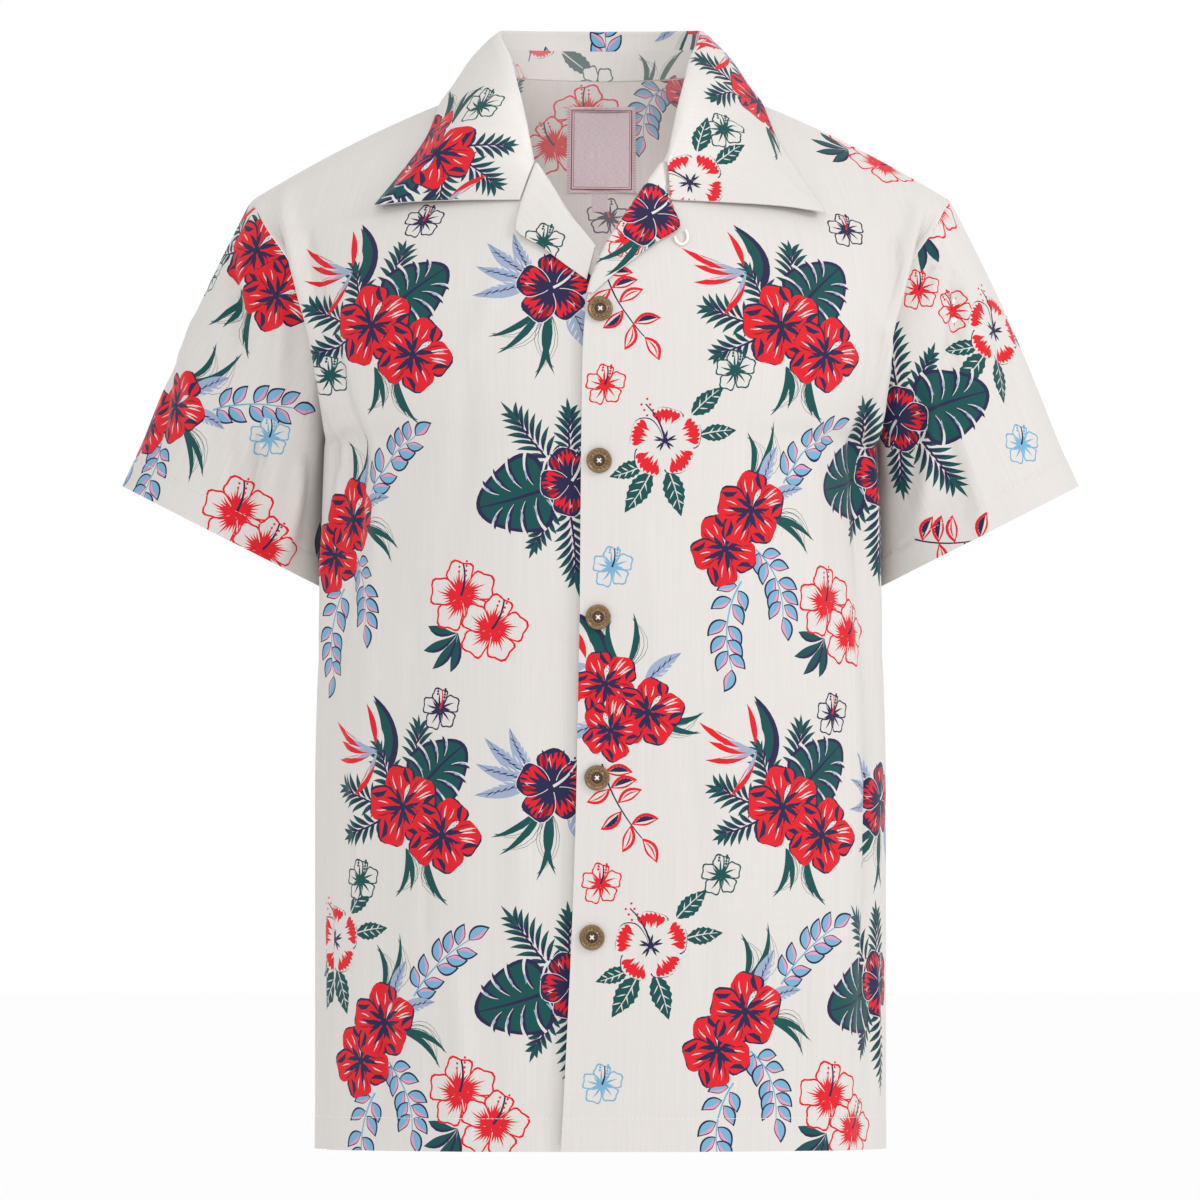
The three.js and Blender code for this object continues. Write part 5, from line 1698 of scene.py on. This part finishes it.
def inner_sheet(left, right, top, bottom, off):
    """A sheet inside the back, at a distance from its outer face."""
    x, z = np.meshgrid(np.linspace(left, right, 40), np.linspace(top, bottom, 44))
    t, s = place_at("back", x, z)
    out = way_out("back", t, s)
    points = surface("back", t, s) - out * off
    return Sheet(points, lambda p: point(0, -1, 0), left, bottom, 0)


def box_shape(ink, left, right, low, high):
    """An upright rectangle of ink."""
    return (ink, np.array([(left, low), (right, low), (right, high), (left, high)], float))


def label_shapes(sheet):
    """Two border lines, and a row of short stitches down each side."""
    u0, u1, v0, v1 = sheet.u.min(), sheet.u.max(), sheet.v.min(), sheet.v.max()
    shapes = []
    for edge, wide in ((3.0, 0.8), (4.8, 0.35)):
        far = edge + wide
        shapes.append(box_shape(BORDER, u0 + edge, u1 - edge, v0 + edge, v1 - edge))
        shapes.append(box_shape(RIBBON_GROUND, u0 + far, u1 - far, v0 + far, v1 - far))
    for v in np.arange(v0 + 1.5, v1 - 1, 2.0):
        shapes.append(box_shape(SIDE_STITCH, u0 + 0.5, u0 + 2.4, v, v + 0.9))
        shapes.append(box_shape(SIDE_STITCH, u1 - 2.4, u1 - 0.5, v, v + 0.9))
    return shapes


label, tab = inner_sheet(*LABEL_PLACE, CLOTH + 1.5), inner_sheet(*TAB_PLACE, CLOTH + 1.3)
RIBBONS = [("neck_label", label, label_shapes(label), 0.5), ("size_tab", tab, [], 0.4)]
# The ribbons' inner faces take the cloth's default painted light, which lightens them against the shade
# inside the back.
for node, sheet, shapes, thick in RIBBONS:
    cloth(node, sheet, shapes, "laid", RIBBON_MAT, 3, thick, "woven_label", RIBBON)

# The button loop at the corner of the left lapel: x, z of points on the left front
LOOP = [(51.5, -97), (53, -100.5), (56.5, -102.5), (60, -100), (60.3, -95.5), (59, -92.5)]
route = np.array([on("over", x, z, 1.6) for x, z in LOOP])
spine = smooth_rows(route[:, None, :], 8)[:, 0]
join_parts("cloth_loop", [tube(spine, 1.0, 10, 0)], [THREAD], ["button_loop"])


def stitches(lines):
    """Short raised stitches along lines of points and normals."""
    parts = []
    for points, normals in lines:
        far = np.concatenate([[0], np.cumsum(np.linalg.norm(np.diff(points, axis=0), axis=1))])
        for start in np.arange(0, far[-1] - STITCH, STITCH + STITCH_GAP):
            ends = np.linspace(start, start + STITCH, 3)
            spine = np.stack([np.interp(ends, far, points[:, i]) for i in range(3)], 1)
            out = np.stack([np.interp(ends, far, normals[:, i]) for i in range(3)], 1)
            spine = spine + out * np.array([[0.02], [0.2], [0.02]])
            parts.append(tube(spine, 0.2, 4, 0))
    return parts


def level_line(sheet, distance):
    """Points and normals of a sheet at a distance above its hem."""
    rows = np.arange(sheet.u.shape[0])
    cols = np.arange(0, sheet.u.shape[1], 3)
    return sheet.at_places([np.interp(-distance, -sheet.hem[:, j], rows) for j in cols], cols)


def upright_line(sheet, distance, last_row):
    """Points and normals of a front at a distance from its armhole."""
    cols = np.arange(sheet.u.shape[1])
    rows = np.arange(4, last_row, 2)
    return sheet.at_places(rows, [np.interp(-distance, -sheet.arm[i], cols) for i in rows])


arm_rows = int(PANEL_ROWS * UNDERARM / HEM)
seams = [level_line(sheets[name], BODY_HEM) for name in ("under", "over", "back")]
seams += [level_line(sheets[name], SLEEVE_HEM) for name in ("sleeve_under", "sleeve_over")]
seams += [upright_line(sheets[name], ARM_STITCH, arm_rows) for name in ("under", "over")]
join_parts("stitching", stitches(seams), [THREAD], [])

# Camera, floor and light, in metres
CAMERA_FAR, CAMERA_Z = 20.0, -0.35
SENSOR, SEEN_WIDTH = 36, 0.84
FLOOR_HALF, FLOOR_Z = 60, -1.45
# Soft lamps: name, place, what it shines at, size, watts
LAMPS = [
    ("key", (2.7, -1.7, 1.3), (0, 0, -0.3), 0.8, 33),
    ("fill", (-0.3, -2.6, 0.55), (0, 0.05, -0.05), 0.8, 12),
    ("neck", (0, -0.7, 0.17), (0, 0.09, -0.055), 0.06, 0.018),
]
NECK_SPREAD = math.radians(16)


def in_scene(name, data):
    obj = bpy.data.objects.new(name, data)
    bpy.context.scene.collection.objects.link(obj)
    return obj


camera_data = bpy.data.cameras.new("camera")
camera_data.sensor_width = SENSOR
camera_data.lens = SENSOR * CAMERA_FAR / SEEN_WIDTH
camera_data.clip_end = 100
camera = in_scene("camera", camera_data)
camera.location = (-0.00035, -CAMERA_FAR - 0.06, CAMERA_Z)
camera.rotation_euler = (math.pi / 2, 0, 0)
bpy.context.scene.camera = camera

floor_mesh = bpy.data.meshes.new("floor")
corners = [(x * FLOOR_HALF, y * FLOOR_HALF, FLOOR_Z) for x, y in ((-1, -1), (1, -1), (1, 1), (-1, 1))]
floor_mesh.from_pydata(corners, [], [[0, 1, 2, 3]])
floor = in_scene("floor", floor_mesh)
floor_mat, _, _, floor_shader = new_material("floor")
floor_shader.inputs["Base Color"].default_value = (0.98, 0.98, 0.98, 1)
floor_shader.inputs["Roughness"].default_value = 0.9
floor_mesh.materials.append(floor_mat)

world = bpy.data.worlds.new("studio")
world.use_nodes = True
world.node_tree.nodes["Background"].inputs["Color"].default_value = (1, 1, 1, 1)
world.node_tree.nodes["Background"].inputs["Strength"].default_value = 1.0
bpy.context.scene.world = world
bpy.context.scene.view_settings.view_transform = "Standard"

for name, place, aim, size, power in LAMPS:
    data = bpy.data.lights.new(name, "AREA")
    data.size, data.energy = size, power
    if name == "neck":
        data.spread = NECK_SPREAD
    lamp = in_scene(name, data)
    lamp.location = place
    lamp.rotation_euler = (Vector(aim) - Vector(place)).to_track_quat("-Z", "Y").to_euler()
